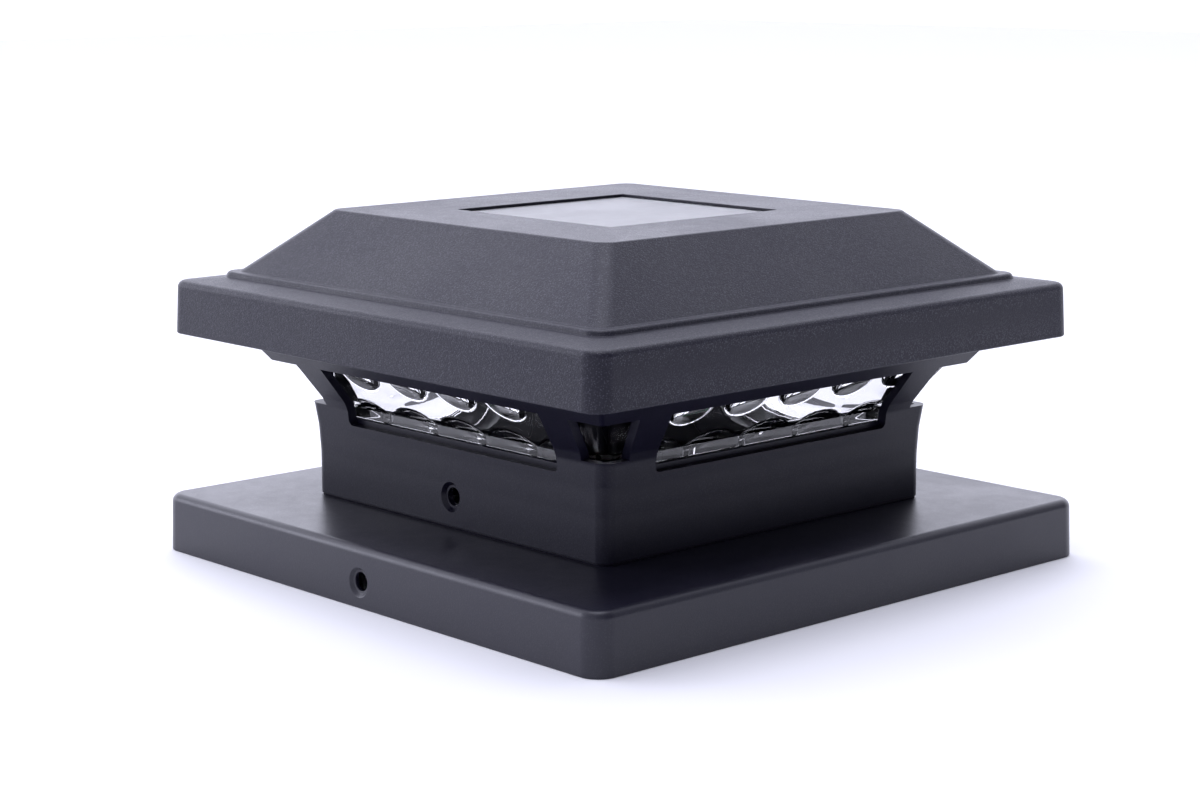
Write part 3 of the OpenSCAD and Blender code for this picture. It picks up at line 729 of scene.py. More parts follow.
@dataclass(frozen=True)
class Cell(Finish):
    """Silicon cells of blue and violet crystals, with fine contact lines at a pitch."""

    blue: Colour = (0.006, 0.014, 0.05)
    violet: Colour = (0.014, 0.02, 0.085)
    line: Colour = (0.45, 0.46, 0.48)
    pitch: float = 1.9

    def draw(self, on: Surface) -> None:
        """Draws the crystals and the contact lines over them.

        Args:
            on: The surface.
        """
        across = on.add("SeparateXYZ", Vector=on.place()).outputs[1]
        phase = on.math("FRACT", on.math("DIVIDE", across, self.pitch * MM))
        from_line = on.math("ABSOLUTE", on.math("SUBTRACT", phase, 0.5))
        crystals = on.add("TexVoronoi", Vector=on.place(), Scale=420.0).outputs["Color"]
        tone = on.add("SeparateColor", i0=crystals).outputs[0]
        silicon = on.mix(tone, self.blue, self.violet)
        on.set(
            Base_Color=on.mix(on.math("LESS_THAN", from_line, 0.055), silicon, self.line),
            Roughness=on.line(tone, 0.12, 0.22),
        )


@dataclass(frozen=True)
class Board(Finish):
    """A printed board: solder mask, which is paler over the copper tracks."""

    mask: Colour
    track: Colour

    def draw(self, on: Surface) -> None:
        """Draws the mask and the raised tracks.

        Args:
            on: The surface.
        """
        tracks = on.add("TexBrick", Vector=on.place(), Scale=160.0, Mortar_Size=0.03)
        copper = on.ramp(tracks.outputs["Fac"], 0.2, 0.8)
        on.set(
            Base_Color=on.mix(copper, self.mask, self.track),
            Roughness=on.line(copper, -0.08, 0.34),
            Normal=on.bump(copper, 0.03 * MM),
        )


@dataclass(frozen=True)
class Phosphor(Finish):
    """Yellow resin of an LED, with paler grains of phosphor."""

    resin: Colour = (0.85, 0.42, 0.02)
    grains: Colour = (0.9, 0.62, 0.12)

    def draw(self, on: Surface) -> None:
        """Draws the resin and its grains."""
        mask = on.ramp(on.noise(5000.0, 2.0), 0.35, 0.6)
        on.set(
            Base_Color=on.mix(mask, self.resin, self.grains),
            Roughness=on.line(mask, 0.2, 0.25),
        )


def insulation(name: str, slot: Slot, colour: Colour) -> Moulded:
    """Gives the soft plastic of a lead in one colour."""
    worn = (colour[0] * 0.75, colour[1] * 0.75, colour[2] * 0.75)
    return Moulded(name, slot, colour, worn, colour, rough=0.32, grain=0.3, depth=0.01)


# The third colour of each Moulded finish is its glint colour, a painted highlight on chosen grains.
ROOF = Moulded(
    "grained_charcoal_abs", Slot.ROOF_ABS,
    (0.0060, 0.0057, 0.0135), (0.0076, 0.0072, 0.0165), (0.06, 0.058, 0.078),
    rough=0.40, grain=0.27, depth=0.085, painted_glint_share=0.8, specular=0.32,
)
BLACK = Moulded(
    "satin_black_abs", Slot.BLACK_ABS,
    (0.0044, 0.0040, 0.0115), (0.0055, 0.0050, 0.0138), (0.03, 0.029, 0.04),
    rough=0.31, grain=0.28, depth=0.022, painted_glint_share=0.4, specular=0.24,
)
SKIRT = Moulded(
    "satin_skirt_abs", Slot.BLACK_ABS,
    (0.0044, 0.0040, 0.0125), (0.0055, 0.0050, 0.0148), (0.03, 0.029, 0.04),
    rough=0.33, grain=0.28, depth=0.022, painted_glint_share=0.4, specular=0.56,
)
INNER = Moulded(
    "plain_black_abs", Slot.INNER_BLACK,
    (0.012, 0.012, 0.013), (0.016, 0.016, 0.018), (0.04, 0.04, 0.04),
    rough=0.3, grain=0.5, depth=0.008, painted_glint_share=0.1,
)
SLEEVE = Moulded(
    "green_shrink_sleeve", Slot.BATTERY_SLEEVE,
    (0.01, 0.16, 0.06), (0.014, 0.19, 0.075), (0.05, 0.3, 0.12),
    rough=0.16, grain=1.2, depth=0.006, painted_glint_share=0.1,
)
RUBBER = Moulded(
    "seal_rubber", Slot.SEAL_RUBBER,
    (0.02, 0.02, 0.02), (0.03, 0.03, 0.03), (0.05, 0.05, 0.05),
    rough=0.6, grain=0.25, depth=0.02, painted_glint_share=0.1,
)
FOAM = Moulded(
    "closed_cell_foam", Slot.FOAM_GREY,
    (0.055, 0.055, 0.06), (0.085, 0.085, 0.09), (0.12, 0.12, 0.12),
    rough=0.85, grain=0.5, depth=0.16, painted_glint_share=0.3,
)
KNOB = Moulded(
    "white_knob_plastic", Slot.KNOB_WHITE,
    (0.72, 0.72, 0.7), (0.62, 0.62, 0.6), (0.85, 0.85, 0.85),
    rough=0.35, grain=0.3, depth=0.01, painted_glint_share=0.1,
)
COMPONENT = Moulded(
    "black_package", Slot.COMPONENT_BLACK,
    (0.016, 0.016, 0.017), (0.028, 0.028, 0.03), (0.07, 0.07, 0.07),
    rough=0.5, grain=0.15, depth=0.012, painted_glint_share=0.3,
)
RED_LEAD = insulation("red_insulation", Slot.LEAD_RED, (0.42, 0.012, 0.01))
WHITE_LEAD = insulation("white_insulation", Slot.LEAD_WHITE, (0.68, 0.68, 0.66))
BLUE_LEAD = insulation("blue_insulation", Slot.LEAD_BLUE, (0.012, 0.05, 0.4))
ACRYLIC = Clear("clear_acrylic", Slot.CLEAR_LENS)
PANEL = Clear("panel_front_resin", Slot.PANEL_FRONT, (0.97, 0.99, 1.0), 1.42, 0.30, 0.003)
NICKEL = Metal("nickel_plate", Slot.BRIGHT_STEEL, (0.72, 0.71, 0.68), (0.5, 0.49, 0.47), 0.18)
STEEL = Metal("stainless_steel", Slot.SCREW_STEEL, (0.6, 0.6, 0.6), (0.42, 0.42, 0.42), 0.26)
SILICON = Cell("silicon_cells", Slot.CELL_BLUE)
BACKING = Board(
    "black_solder_mask", Slot.BOARD_BLACK, (0.012, 0.012, 0.014), (0.02, 0.02, 0.024)
)
GREEN = Board("green_solder_mask", Slot.BOARD_GREEN, (0.01, 0.13, 0.05), (0.02, 0.2, 0.075))
RESIN = Phosphor("led_phosphor_resin", Slot.LED_PHOSPHOR)


def paint(piece: Piece, finish: Finish) -> None:
    """Gives a piece or a CAD node its finish as its only material."""
    piece.data.materials.clear()
    piece.data.materials.append(finish.material())


def dress(piece: Piece, finish: Finish, body: Body, *nodes: str) -> None:
    """Gives a piece its finish and its body, and hides the CAD nodes that it stands for.

    Args:
        piece: The piece.
        finish: Its finish.
        body: The body that it rides on.
        nodes: The CAD nodes that it replaces.
    """
    paint(piece, finish)
    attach(piece, body.value)
    if nodes:
        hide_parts(*nodes)
    LOG.info("%s: %d faces", piece.name, len(piece.data.polygons))


# ---------------------------------------------------------------- sub-assemblies


@dataclass(frozen=True)
class SideHole:
    """A counterbored screw hole in the -Y and +Y sides.

    Attributes:
        z: Height of the hole.
        face: Distance of the wall's outer face from the centre line.
        wall: Thickness of the wall.
        bore: Radius of the hole.
        counterbore: Radius of the counterbore, which narrows by taper as it goes in.
        sink: Depth of the counterbore.
        clear: How far the cutter stands out of the wall at both ends.
    """

    z: float
    face: float
    wall: float
    bore: float = 2.0
    counterbore: float = 3.25
    sink: float = 0.8
    taper: float = 0.75
    clear: float = 1.5

    def tools(self) -> list[Mesh]:
        """Makes the cutters.

        Returns:
            The cutter of each side.
        """
        far = self.wall + self.clear
        outline = metres([
            (0, -self.clear), (self.counterbore, -self.clear), (self.counterbore, 0),
            (self.counterbore - self.taper, self.sink), (self.bore, self.sink),
            (self.bore, far), (0, far),
        ])
        at = Matrix.Translation((0, -self.face * MM, self.z * MM))
        inward = at @ Matrix.Rotation(-TAU / 4, 4, "X")
        turns = [Matrix.Rotation(turn, 4, "Z") for turn in (0, math.pi)]
        return [placed(lathe(outline), turn @ inward) for turn in turns]


@dataclass(frozen=True)
class PostSkirt:
    """The wide base that goes over a large post."""

    half: float = 72.5
    top_half: float = 72.2
    inner: float = 70.65
    height: float = 12.9
    plate: float = 2.2
    wall: float = 1.85
    seat: float = 47.58
    seat_z: float = 12.3
    opening: float = 45.58
    hole_z: float = 5.5
    rib_half: float = 0.7
    rib_deep: float = 2.0
    rib_at: tuple[float, ...] = (-36.0, 0.0, 36.0)

    def build(self) -> None:
        """Models the skirt and dresses it."""
        under = self.height - self.plate
        piece = moulding(
            "post_skirt_shell",
            (self.half, 0, 4.7, 0.35),
            (self.top_half, self.height, 4.7, 1.8),
            (self.seat, self.height, 3.0, 0.15),
            (self.seat, self.seat_z, 3.0, 0.1),
            (self.opening, self.seat_z, 1.0, 0.2),
            (self.opening, under, 1.0, 0.2),
            (self.inner, under, 2.85, 0.6),
            (self.inner, 0, 2.85, 0.3),
        )
        ribs = all_round(*(partial(self.rib, x) for x in self.rib_at))
        cut(piece, [merged(ribs)], join=True)
        cut(piece, SideHole(self.hole_z, self.half, self.wall).tools())
        soften(piece, 0.12 * MM)
        dress(piece, SKIRT, Body.SKIRT, "post_skirt")

    def rib(self, x: float) -> Mesh:
        """Makes a stiffening rib under the top plate of the -Y side, with its middle at x."""
        foot, head = self.height - self.plate - self.rib_deep, self.height - self.plate + 0.5
        return block(
            ((x - self.rib_half) * MM, -(self.inner + 0.5) * MM, foot * MM),
            ((x + self.rib_half) * MM, -(self.opening + 1.5) * MM, head * MM),
        )


@dataclass(frozen=True)
class WindowFrame:
    """The collar, the flared frame round the windows and the rim that closes the eave."""

    collar: float = 47.78
    collar_inside: float = 45.58
    seat: float = 47.28
    seat_z: float = 12.3
    ledge: float = 37.58
    ledge_z: float = 30.0
    ledge_under: float = 27.4
    rim: float = 67.88
    rim_z: float = 51.3
    rim_top: float = 53.3
    sill_z: float = 30.3
    sill_round: float = 1.3
    top_z: float = 43.2
    window_half: float = 34.5
    window_top_half: float = 35.9
    window_straight: float = 4.7
    opening_low: float = 42.0
    opening_high: float = 44.7
    opening_z: float = 33.9
    hole_z: float = 19.6
    wall: float = 2.2
    screw_bore: float = 1.7
    lip: float = 46.18
    lip_inside: float = 44.8
    lip_top: float = 31.5

    def build(self) -> None:
        """Models the frame and dresses it."""
        piece = moulding(
            "window_frame",
            (self.seat, self.seat_z, 2.5, 0.1),
            (self.seat, 13.3, 2.5, 0.1),
            (self.collar, 13.3, 3.0, 0.18),
            (self.collar, 22.6, 3.0, 30.0),
            (48.0, 28.0, 3.0, 30.0),
            (48.6, 33.5, 3.0, 3.5),
            (49.4, 35.5, 2.1, 3.5),
            (54.75, 43.29, 0.8),
            (60.38, self.rim_z, 0.8, 0.3),
            (self.rim, self.rim_z, 1.95, 0.3),
            (self.rim, self.rim_top, 1.95, 0.3),
            (58.18, self.rim_top, 0.6, 0.3),
            (58.18, self.rim_z, 0.6),
            (52.55, 43.29, 0.6),
            (47.2, 35.5, 0.6),
            (46.4, 33.5, 0.6),
            (45.93, self.ledge_z, 0.6, 0.15),
            (self.ledge, self.ledge_z, 0.6, 0.3),
            (self.ledge, self.ledge_under, 0.6, 0.3),
            (self.collar_inside, self.ledge_under, 0.6, 0.3),
            (self.collar_inside, self.seat_z, 0.6, 0.2),
        )
        cut(piece, all_round(self.window_cutter, self.corner_cutter))
        cut(piece, [self.lip_ring()], join=True)
        holes = SideHole(self.hole_z, self.collar, self.wall).tools()
        cut(piece, holes + all_round(self.screw_drill))
        soften(piece, 0.16 * MM)
        dress(piece, BLACK, Body.UNIT, "housing")

    def lip_ring(self) -> Mesh:
        """Makes the lip that stands on the ledge in front of the lens's foot."""
        low = self.ledge_z - 0.2
        return ring_shell(breaks_mm(
            (self.lip, low, 0.6), (self.lip, self.lip_top, 0.6, 0.15),
            (self.lip_inside, self.lip_top, 3.3, 0.15), (self.lip_inside, low, 3.3),
        ))

    def window_cutter(self) -> Mesh:
        """Makes the cutter of the window in the -Y side, with round lower corners.

        Returns:
            The cutter.
        """
        rise = self.sill_z + self.window_straight
        outline = metres([
            (-self.window_half, self.sill_z), (self.window_half, self.sill_z),
            (self.window_half, rise), (self.window_top_half, self.top_z),
            (-self.window_top_half, self.top_z), (-self.window_half, rise),
        ])
        tool = prism(outline, (self.collar - 6.5) * MM, (self.rim + 4) * MM)
        sill = [
            edge for edge in tool.edges
            if abs(edge.verts[0].co.z - edge.verts[1].co.z) > MM
            and edge.verts[0].co.y < (self.sill_z + 1) * MM
        ]
        bevel(tool, sill, self.sill_round * MM, 8)
        return placed(tool, Matrix.Rotation(TAU / 4, 4, "X"))

    def corner_cutter(self) -> Mesh:
        """Makes the cutter of one open corner, which narrows upwards.

        Returns:
            The cutter.
        """
        near, near_top, far, top = (
            size * MM for size in (self.opening_low, self.opening_high, self.rim + 5, self.top_z)
        )
        tool = block((near, near, self.opening_z * MM), (far, far, top))
        for vert in tool.verts:
            if vert.co.z > top - 1e-6:
                vert.co.x = max(vert.co.x, near_top)
                vert.co.y = max(vert.co.y, near_top)
        return tool

    def screw_drill(self) -> Mesh:
        """Makes the cutter of a roof screw's hole in the rim."""
        low, high, radius = self.rim_z - 1.3, self.rim_top + 1.7, self.screw_bore
        return at_screw(lathe(metres([(0, low), (radius, low), (radius, high), (0, high)])))


@dataclass(frozen=True)
class PillowRow:
    """A row of oval pillows or round-headed flutes on the lens's inner face.

    Attributes:
        z: Height of their centres, or of the foot of the flutes' heads.
        pitch: Distance from one to the next.
        shift: Place of one of them along the side.
        half_width: Half their width.
        half_height: Half their height, or the height of the flutes' heads.
        bulge: How far their middle stands out.
        open_foot: Whether they run down to the foot of the lens as flutes.
    """

    z: float
    pitch: float
    shift: float
    half_width: float
    half_height: float
    bulge: float
    open_foot: bool = False

    def bulge_at(self, along: float, z: float) -> float:
        """Gives how far the row stands out at a place on the side.

        Args:
            along: Distance from the side's middle.
            z: Height.

        Returns:
            How far it stands out.
        """
        across = math.remainder(along - self.shift, self.pitch) / self.half_width
        up = (z - self.z) / self.half_height
        if self.open_foot:
            up = max(up, 0.0)
        return self.bulge * max(0.0, 1 - across * across - up * up)


@dataclass(frozen=True)
class Lens:
    """The clear cover, with a row of flutes under a row of pillows on its inner face.

    Attributes:
        bends: Height over the foot, distance outwards and fillet of each bend of the wall.
        cell: Size of the small faces of the inner face.
        pattern_half: How far from the side's middle the rows reach.
    """

    rows: tuple[PillowRow, ...] = (
        PillowRow(32.8, 16.0, 0.5, 7.7, 4.2, 1.2, open_foot=True),
        PillowRow(44.4, 16.0, 5.2, 6.6, 4.4, 1.6),
    )
    wall: float = 2.3
    top_wall: float = 3.6
    step_height: float = 1.7
    step_depth: float = 1.1
    foot_half: float = 45.7
    top_half: float = 54.26
    foot_z: float = 30.0
    top_z: float = 46.0
    bends: tuple[tuple[float, float, float], ...] = ((4.0, 0.2, 0.25), (5.5, 1.3, 0.8))
    cell: float = 0.36
    pattern_half: float = 41.0

    def build(self) -> None:
        """Models the lens and dresses it."""
        step_in, step_top = self.foot_half - self.step_depth, self.foot_z + self.step_height
        outer = breaks_mm(
            (step_in, self.foot_z, 2.4, 0.2),
            (step_in, step_top, 2.4, 0.2),
            (self.foot_half + 0.05, step_top, 3.5, 0.2),
            *(
                (self.foot_half + out, self.foot_z + up, 3.5, fillet)
                for up, out, fillet in self.bends
            ),
            (self.top_half, self.top_z, 3.5, 0.25),
        )
        levels = round((self.top_z - self.foot_z) / self.cell)
        fall = (self.top_z - self.foot_z) / levels
        inner = [self.inner_break(self.top_z - fall * step) for step in range(levels + 1)]
        bm = ring_shell(outer + inner, steps=8)
        self.refine(bm)
        for vert in bm.verts:
            self.press(vert)
        bmesh.ops.recalc_face_normals(bm, faces=bm.faces)
        piece = as_object("hammered_lens", bm)
        piece.data.shade_smooth()
        piece.data.set_sharp_from_angle(angle=math.radians(50))
        dress(piece, ACRYLIC, Body.UNIT, "lens")

    def inner_half(self, z: float) -> float:
        """Gives the half width of the plain inner face.

        Args:
            z: Height at which it is wanted.

        Returns:
            The half width.
        """
        foot = self.foot_half - self.wall
        points = [(self.foot_z, foot)]
        points += [(self.foot_z + up, foot + out) for up, out, _ in self.bends]
        points.append((self.top_z, self.top_half - self.top_wall))
        for (low, start), (high, end) in zip(points, points[1:]):
            if z <= high:
                return start + (end - start) * (z - low) / (high - low)
        return points[-1][1]

    def inner_break(self, z: float) -> Break:
        """Gives the inner outline at a height."""
        return Break(self.inner_half(z) * MM, z * MM, 1.5 * MM)

    def refine(self, bm: Mesh) -> None:
        """Splits the long level edges of the inner face into small ones.

        Args:
            bm: The lens.
        """
        cuts = round(2 * self.inner_half(self.top_z) / self.cell)
        level = [edge for edge in bm.edges if edge.calc_length() > 70 * MM and self.is_inner(edge)]
        bmesh.ops.subdivide_edges(bm, edges=level, cuts=cuts, use_grid_fill=True)

    def is_inner(self, edge: bmesh.types.BMEdge) -> bool:
        """Tells whether an edge lies level on the inner face.

        Args:
            edge: The edge.

        Returns:
            Whether it does.
        """
        reach = [max(abs(vert.co.x), abs(vert.co.y)) for vert in edge.verts]
        heights = [vert.co.z for vert in edge.verts]
        near = (self.inner_half(heights[0] / MM) + 0.1) * MM
        return abs(heights[0] - heights[1]) < 1e-6 and max(reach) < near

    def press(self, vert: bmesh.types.BMVert) -> None:
        """Moves a point of the inner face in to the pillow that it lies on.

        Args:
            vert: The point, which stays if it is on another face.
        """
        side = 0 if abs(vert.co.x) > abs(vert.co.y) else 1
        facing = math.copysign(1, vert.co[side]) * (1 if side == 0 else -1)
        along = vert.co[1 - side] / MM * facing
        z = vert.co.z / MM
        if abs(vert.co[side]) / MM > self.inner_half(z) + 0.1 or abs(along) > self.pattern_half:
            return
        bulge = max(row.bulge_at(along, z) for row in self.rows)
        vert.co[side] -= math.copysign(bulge * MM, vert.co[side])


@dataclass(frozen=True)
class RoofCap:
    """The hipped roof with its eave, shelf, raised bead and recess for the panel."""

    eave: float = 70.53
    eave_z: float = 49.3
    shelf_z: float = 60.9
    bead: float = 62.13
    bead_top: float = 63.15
    slope: float = 60.13
    flat: float = 44.9
    top: float = 76.8
    recess: float = 24.8
    recess_floor: float = 72.3
    ledge_in: float = 19.3
    wall: float = 2.23
    boss: tuple[float, float] = (54.8, 60.1)
    boss_radius: float = 3.2
    pilot: float = 1.6

    def build(self) -> None:
        """Models the roof and dresses it."""
        rise = self.shelf_z + 1.1
        piece = moulding(
            "roof_cap_shell",
            (self.eave, self.eave_z, 4.3, 0.4),
            (self.eave - 0.4, self.shelf_z, 4.3, 1.5),
            (self.bead + 0.3, rise, 4.0, 0.35),
            (self.bead, self.bead_top, 4.0, 0.9),
            (self.slope, self.bead_top, 4.0, 0.5),
            (self.flat, self.top, 3.3, 0.9),
            (self.recess, self.top, 0.5, 0.15),
            (self.recess, self.recess_floor, 0.5),
            (self.ledge_in, self.recess_floor, 0.5, 0.2),
            (self.ledge_in, self.recess_floor - self.wall, 0.5, 0.2),
            (self.recess + self.wall, self.recess_floor - self.wall, 1.0, 0.4),
            (self.recess + self.wall, self.top - self.wall, 1.0, 0.4),
            (self.flat - 1, self.top - self.wall, 2.0, 1.0),
            (self.slope - 1.6, self.bead_top - self.wall, 2.4, 0.5),
            (self.bead - 0.6, rise - self.wall, 2.4, 0.5),
            (66.28, self.shelf_z - self.wall, 2.4, 1.0),
            (67.78, 56.9, 2.2),
            (65.98, 56.9, 1.2, 0.2),
            (65.98, 55.3, 1.2, 0.2),
            (68.18, 55.3, 2.2),
            (68.18, self.eave_z, 2.2, 0.3),
            steps=14,
        )
        cut(piece, all_round(self.screw_boss), join=True)
        soften(piece, 0.1 * MM)
        dress(piece, ROOF, Body.UNIT, "roof_cap")

    def screw_boss(self) -> Mesh:
        """Makes the screw boss of one corner, which runs up into the roof.

        Returns:
            The boss.
        """
        low, high = self.boss
        outline = [
            (self.pilot, low), (self.boss_radius, low), (self.boss_radius, high),
            (self.pilot, high - 1.4), (self.pilot, low),
        ]
        return at_screw(lathe(metres(outline), 32))


@dataclass(frozen=True)
class SolarPanel:
    """The laminate in the roof: clear front, cells, backing board and foam."""

    edge: float = 0.25

    def build(self, nodes: Nodes) -> None:
        """Models the clear front and paints the CAD nodes behind it.

        Args:
            nodes: The CAD nodes.
        """
        piece = as_object("panel_front", block(*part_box("solar_glass"), self.edge * MM))
        soften(piece, 0)
        dress(piece, PANEL, Body.UNIT, "solar_glass")
        paint(nodes["solar_cells"], SILICON)
        paint(nodes["solar_board"], BACKING)
        paint(nodes["panel_seal"], FOAM)


@dataclass(frozen=True)
class ScrewSet:
    """Pan-head screws of one size that stand in one CAD node.

    Attributes:
        node: The CAD node.
        shank: Radius over the thread.
        head: Radius of the head.
        sides: Which end of the node each screw stands at, along X and Y.
        downwards: Whether the shanks point down.
        core: Radius under the thread, as a share of the shank.
        rim: Height of the head's upright rim, as a share of the head's height.
    """

    node: str
    shank: float
    head: float
    head_height: float
    sides: tuple[tuple[int, int], ...] = ((-1, 0), (1, 0))
    downwards: bool = False
    pitch: float = 0.65
    core: float = 0.82
    rim: float = 0.38

    def build(self, nodes: Nodes) -> None:
        """Models the screws and dresses them.

        Args:
            nodes: The CAD nodes.
        """
        low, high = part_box(self.node)
        pattern = as_object("pattern", self.turned((high.z - low.z) / MM - self.head_height))
        cut(pattern, self.recess())
        centre, reach = (low + high) / 2, (high - low) / 2
        head = self.head_height * MM
        seat = high.z - head if self.downwards else low.z + head
        turn = Matrix.Rotation(math.pi if self.downwards else 0, 4, "X")
        made = []
        for side_x, side_y in self.sides:
            x = centre.x + side_x * (reach.x - self.head * MM)
            y = centre.y + side_y * (reach.y - self.head * MM)
            screw = bmesh.new()
            screw.from_mesh(pattern.data)
            made.append(placed(screw, Matrix.Translation((x, y, seat)) @ turn))
        bpy.data.objects.remove(pattern)
        piece = as_object(self.node + "_recessed", merged(made))
        soften(piece, 0.03 * MM)
        dress(piece, STEEL, Body(nodes[self.node]["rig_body"]), self.node)

    def turned(self, length: float) -> Mesh:
        """Turns one screw, its shank up from the underside of its head.

        Args:
            length: Length of the shank.

        Returns:
            The mesh of the screw without its recess.
        """
        core = self.shank * self.core
        outline = [(0.0, length), (core * 0.6, length)]
        z = length - 0.3
        while z > self.pitch + 0.2:
            outline += [(core, z), *((self.shank, z - part * self.pitch) for part in (0.3, 0.42))]
            z -= self.pitch
        outline += [(core, z), (core, 0), (self.head, 0), (self.head, -self.rim * self.head_height)]
        for step in range(1, 6):
            angle = step * math.pi / 10
            fall = self.rim + (1 - self.rim) * math.sin(angle)
            radius = self.head * (0.25 + 0.75 * math.cos(angle))
            outline.append((radius, -fall * self.head_height))
        outline.append((0.0, -self.head_height))
        return lathe(metres(outline), 32)

    def recess(self) -> list[Mesh]:
        """Makes the cutters of the cross recess, which narrows as it goes in.

        Returns:
            The cutter of each arm of the cross.
        """
        long, wide = self.head * 0.56 * MM, self.head * 0.13 * MM
        mouth, floor = -self.head_height * MM - MM, -self.head_height * 0.42 * MM
        made = []
        for turn in (0, TAU / 4):
            tool = block((-long, -wide, mouth), (long, wide, floor))
            for vert in tool.verts:
                if vert.co.z > floor - 1e-7:
                    vert.co.x *= 0.45
            made.append(placed(tool, Matrix.Rotation(turn, 4, "Z")))
        return made


@dataclass(frozen=True)
class DoorPad:
    """The foam pad that presses the battery home; its edges lack the crown's share of it."""

    edge: float = 0.45
    cuts: int = 14
    crown: float = 0.24

    def build(self) -> None:
        """Models the pad and dresses it."""
        low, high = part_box("door_pad")
        bm = block(low, high, self.edge * MM)
        bmesh.ops.subdivide_edges(bm, edges=bm.edges[:], cuts=self.cuts, use_grid_fill=True)
        centre, reach = (low + high) / 2, (high - low) / 2
        for vert in bm.verts:
            across = [abs(vert.co[axis] - centre[axis]) / reach[axis] for axis in (0, 1)]
            drop = self.crown * max(across[0] ** 6, across[1] ** 2)
            vert.co.z = low.z + (vert.co.z - low.z) * (1 - drop)
        piece = as_object("door_pad_foam", bm)
        piece.data.shade_smooth()
        dress(piece, FOAM, Body.DOOR, "door_pad")


@dataclass(frozen=True)
class Leds:
    """The four LEDs: white packages with a dish of yellow resin, which narrows to its floor."""

    at: float = 8.0
    edge: float = 0.12
    dish: float = 1.15
    floor: float = 0.9
    depth: float = 0.45

    def build(self) -> None:
        """Models the packages and their resin, and dresses them."""
        low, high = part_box("leds")
        wide, deep = high.x - self.at * MM, high.y - self.at * MM
        packages, dishes, resin = [], [], []
        for side_x, side_y in CORNERS:
            x, y = side_x * self.at * MM, side_y * self.at * MM
            ends = (x - wide, y - deep, low.z), (x + wide, y + deep, high.z)
            packages.append(block(*ends, self.edge * MM))
            foot = Matrix.Translation((x, y, low.z))
            mouth = (0, -0.2), (self.dish, -0.2), (self.dish, 0)
            dishes.append(placed(self.turned(*mouth), foot))
            resin.append(placed(self.turned((0, 0.06), (self.dish, 0.02)), foot))
        body = as_object("led_packages", merged(packages))
        cut(body, [merged(dishes)])
        soften(body, 0)
        dress(body, KNOB, Body.UNIT, "leds")
        light = as_object("led_resin", merged(resin))
        soften(light, 0)
        dress(light, RESIN, Body.UNIT)

    def turned(self, *mouth: tuple[float, float]) -> Mesh:
        """Turns what fills a dish, from the outline of its mouth."""
        return lathe(metres([*mouth, (self.floor, self.depth), (0, self.depth)]), 32)


@dataclass(frozen=True)
class Rounded:
    """A CAD node that keeps its form, with its edges rounded by a width."""

    node: str
    finish: Finish
    width: float

    def build(self, nodes: Nodes) -> None:
        """Rounds a copy of the node and dresses it.

        Args:
            nodes: The CAD nodes.
        """
        bm = bmesh.new()
        bm.from_mesh(nodes[self.node].data)
        bmesh.ops.remove_doubles(bm, verts=bm.verts, dist=1e-6)
        flat = math.radians(0.5)
        bmesh.ops.dissolve_limit(bm, angle_limit=flat, verts=bm.verts, edges=bm.edges)
        bmesh.ops.recalc_face_normals(bm, faces=bm.faces)
        piece = as_object(self.node + "_rounded", bm)
        soften(piece, self.width * MM)
        dress(piece, self.finish, Body(nodes[self.node]["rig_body"]), self.node)


@dataclass(frozen=True)
class Works:
    """The parts under and inside the light; leads and spring keep their CAD form."""

    parts: tuple[Rounded | ScrewSet, ...] = (
        Rounded("tray", INNER, 0.15),
        Rounded("led_board", GREEN, 0.04),
        Rounded("battery_box", INNER, 0.15),
        Rounded("battery", SLEEVE, 0.5),
        Rounded("battery_nub", NICKEL, 0.2),
        Rounded("contact_plates", NICKEL, 0.05),
        Rounded("battery_door", BLACK, 0.18),
        Rounded("door_seal", RUBBER, 0.12),
        Rounded("switch_body", COMPONENT, 0.12),
        Rounded("switch_frame", NICKEL, 0.05),
        Rounded("switch_knob", KNOB, 0.25),
        Rounded("control_board", GREEN, 0.04),
        Rounded("board_parts", COMPONENT, 0.08),
        Rounded("roof_seal", RUBBER, 0.25),
        ScrewSet("door_screws", 1.1, 2.1, 1.0),
        ScrewSet("box_screws", 1.1, 2.1, 1.2, ((1, 1), (-1, -1)), downwards=True),
        ScrewSet("board_screws", 1.1, 2.1, 1.3, downwards=True),
        ScrewSet("led_screws", 1.1, 2.1, 1.0),
        ScrewSet("roof_screws", 1.5, 2.9, 2.0, CORNERS, pitch=0.9),
    )
    wires: tuple[tuple[str, Finish], ...] = (
        ("contact_spring", NICKEL),
        ("panel_leads", RED_LEAD),
        ("battery_leads", RED_LEAD),
        ("led_leads", WHITE_LEAD),
        ("switch_leads", BLUE_LEAD),
    )

    def build(self, nodes: Nodes) -> None:
        """Models the parts and paints the wires.

        Args:
            nodes: The CAD nodes.
        """
        for part in self.parts:
            part.build(nodes)
        Leds().build()
        DoorPad().build()
        for name, finish in self.wires:
            paint(nodes[name], finish)
            nodes[name].data.shade_smooth()


# ---------------------------------------------------------------- studio


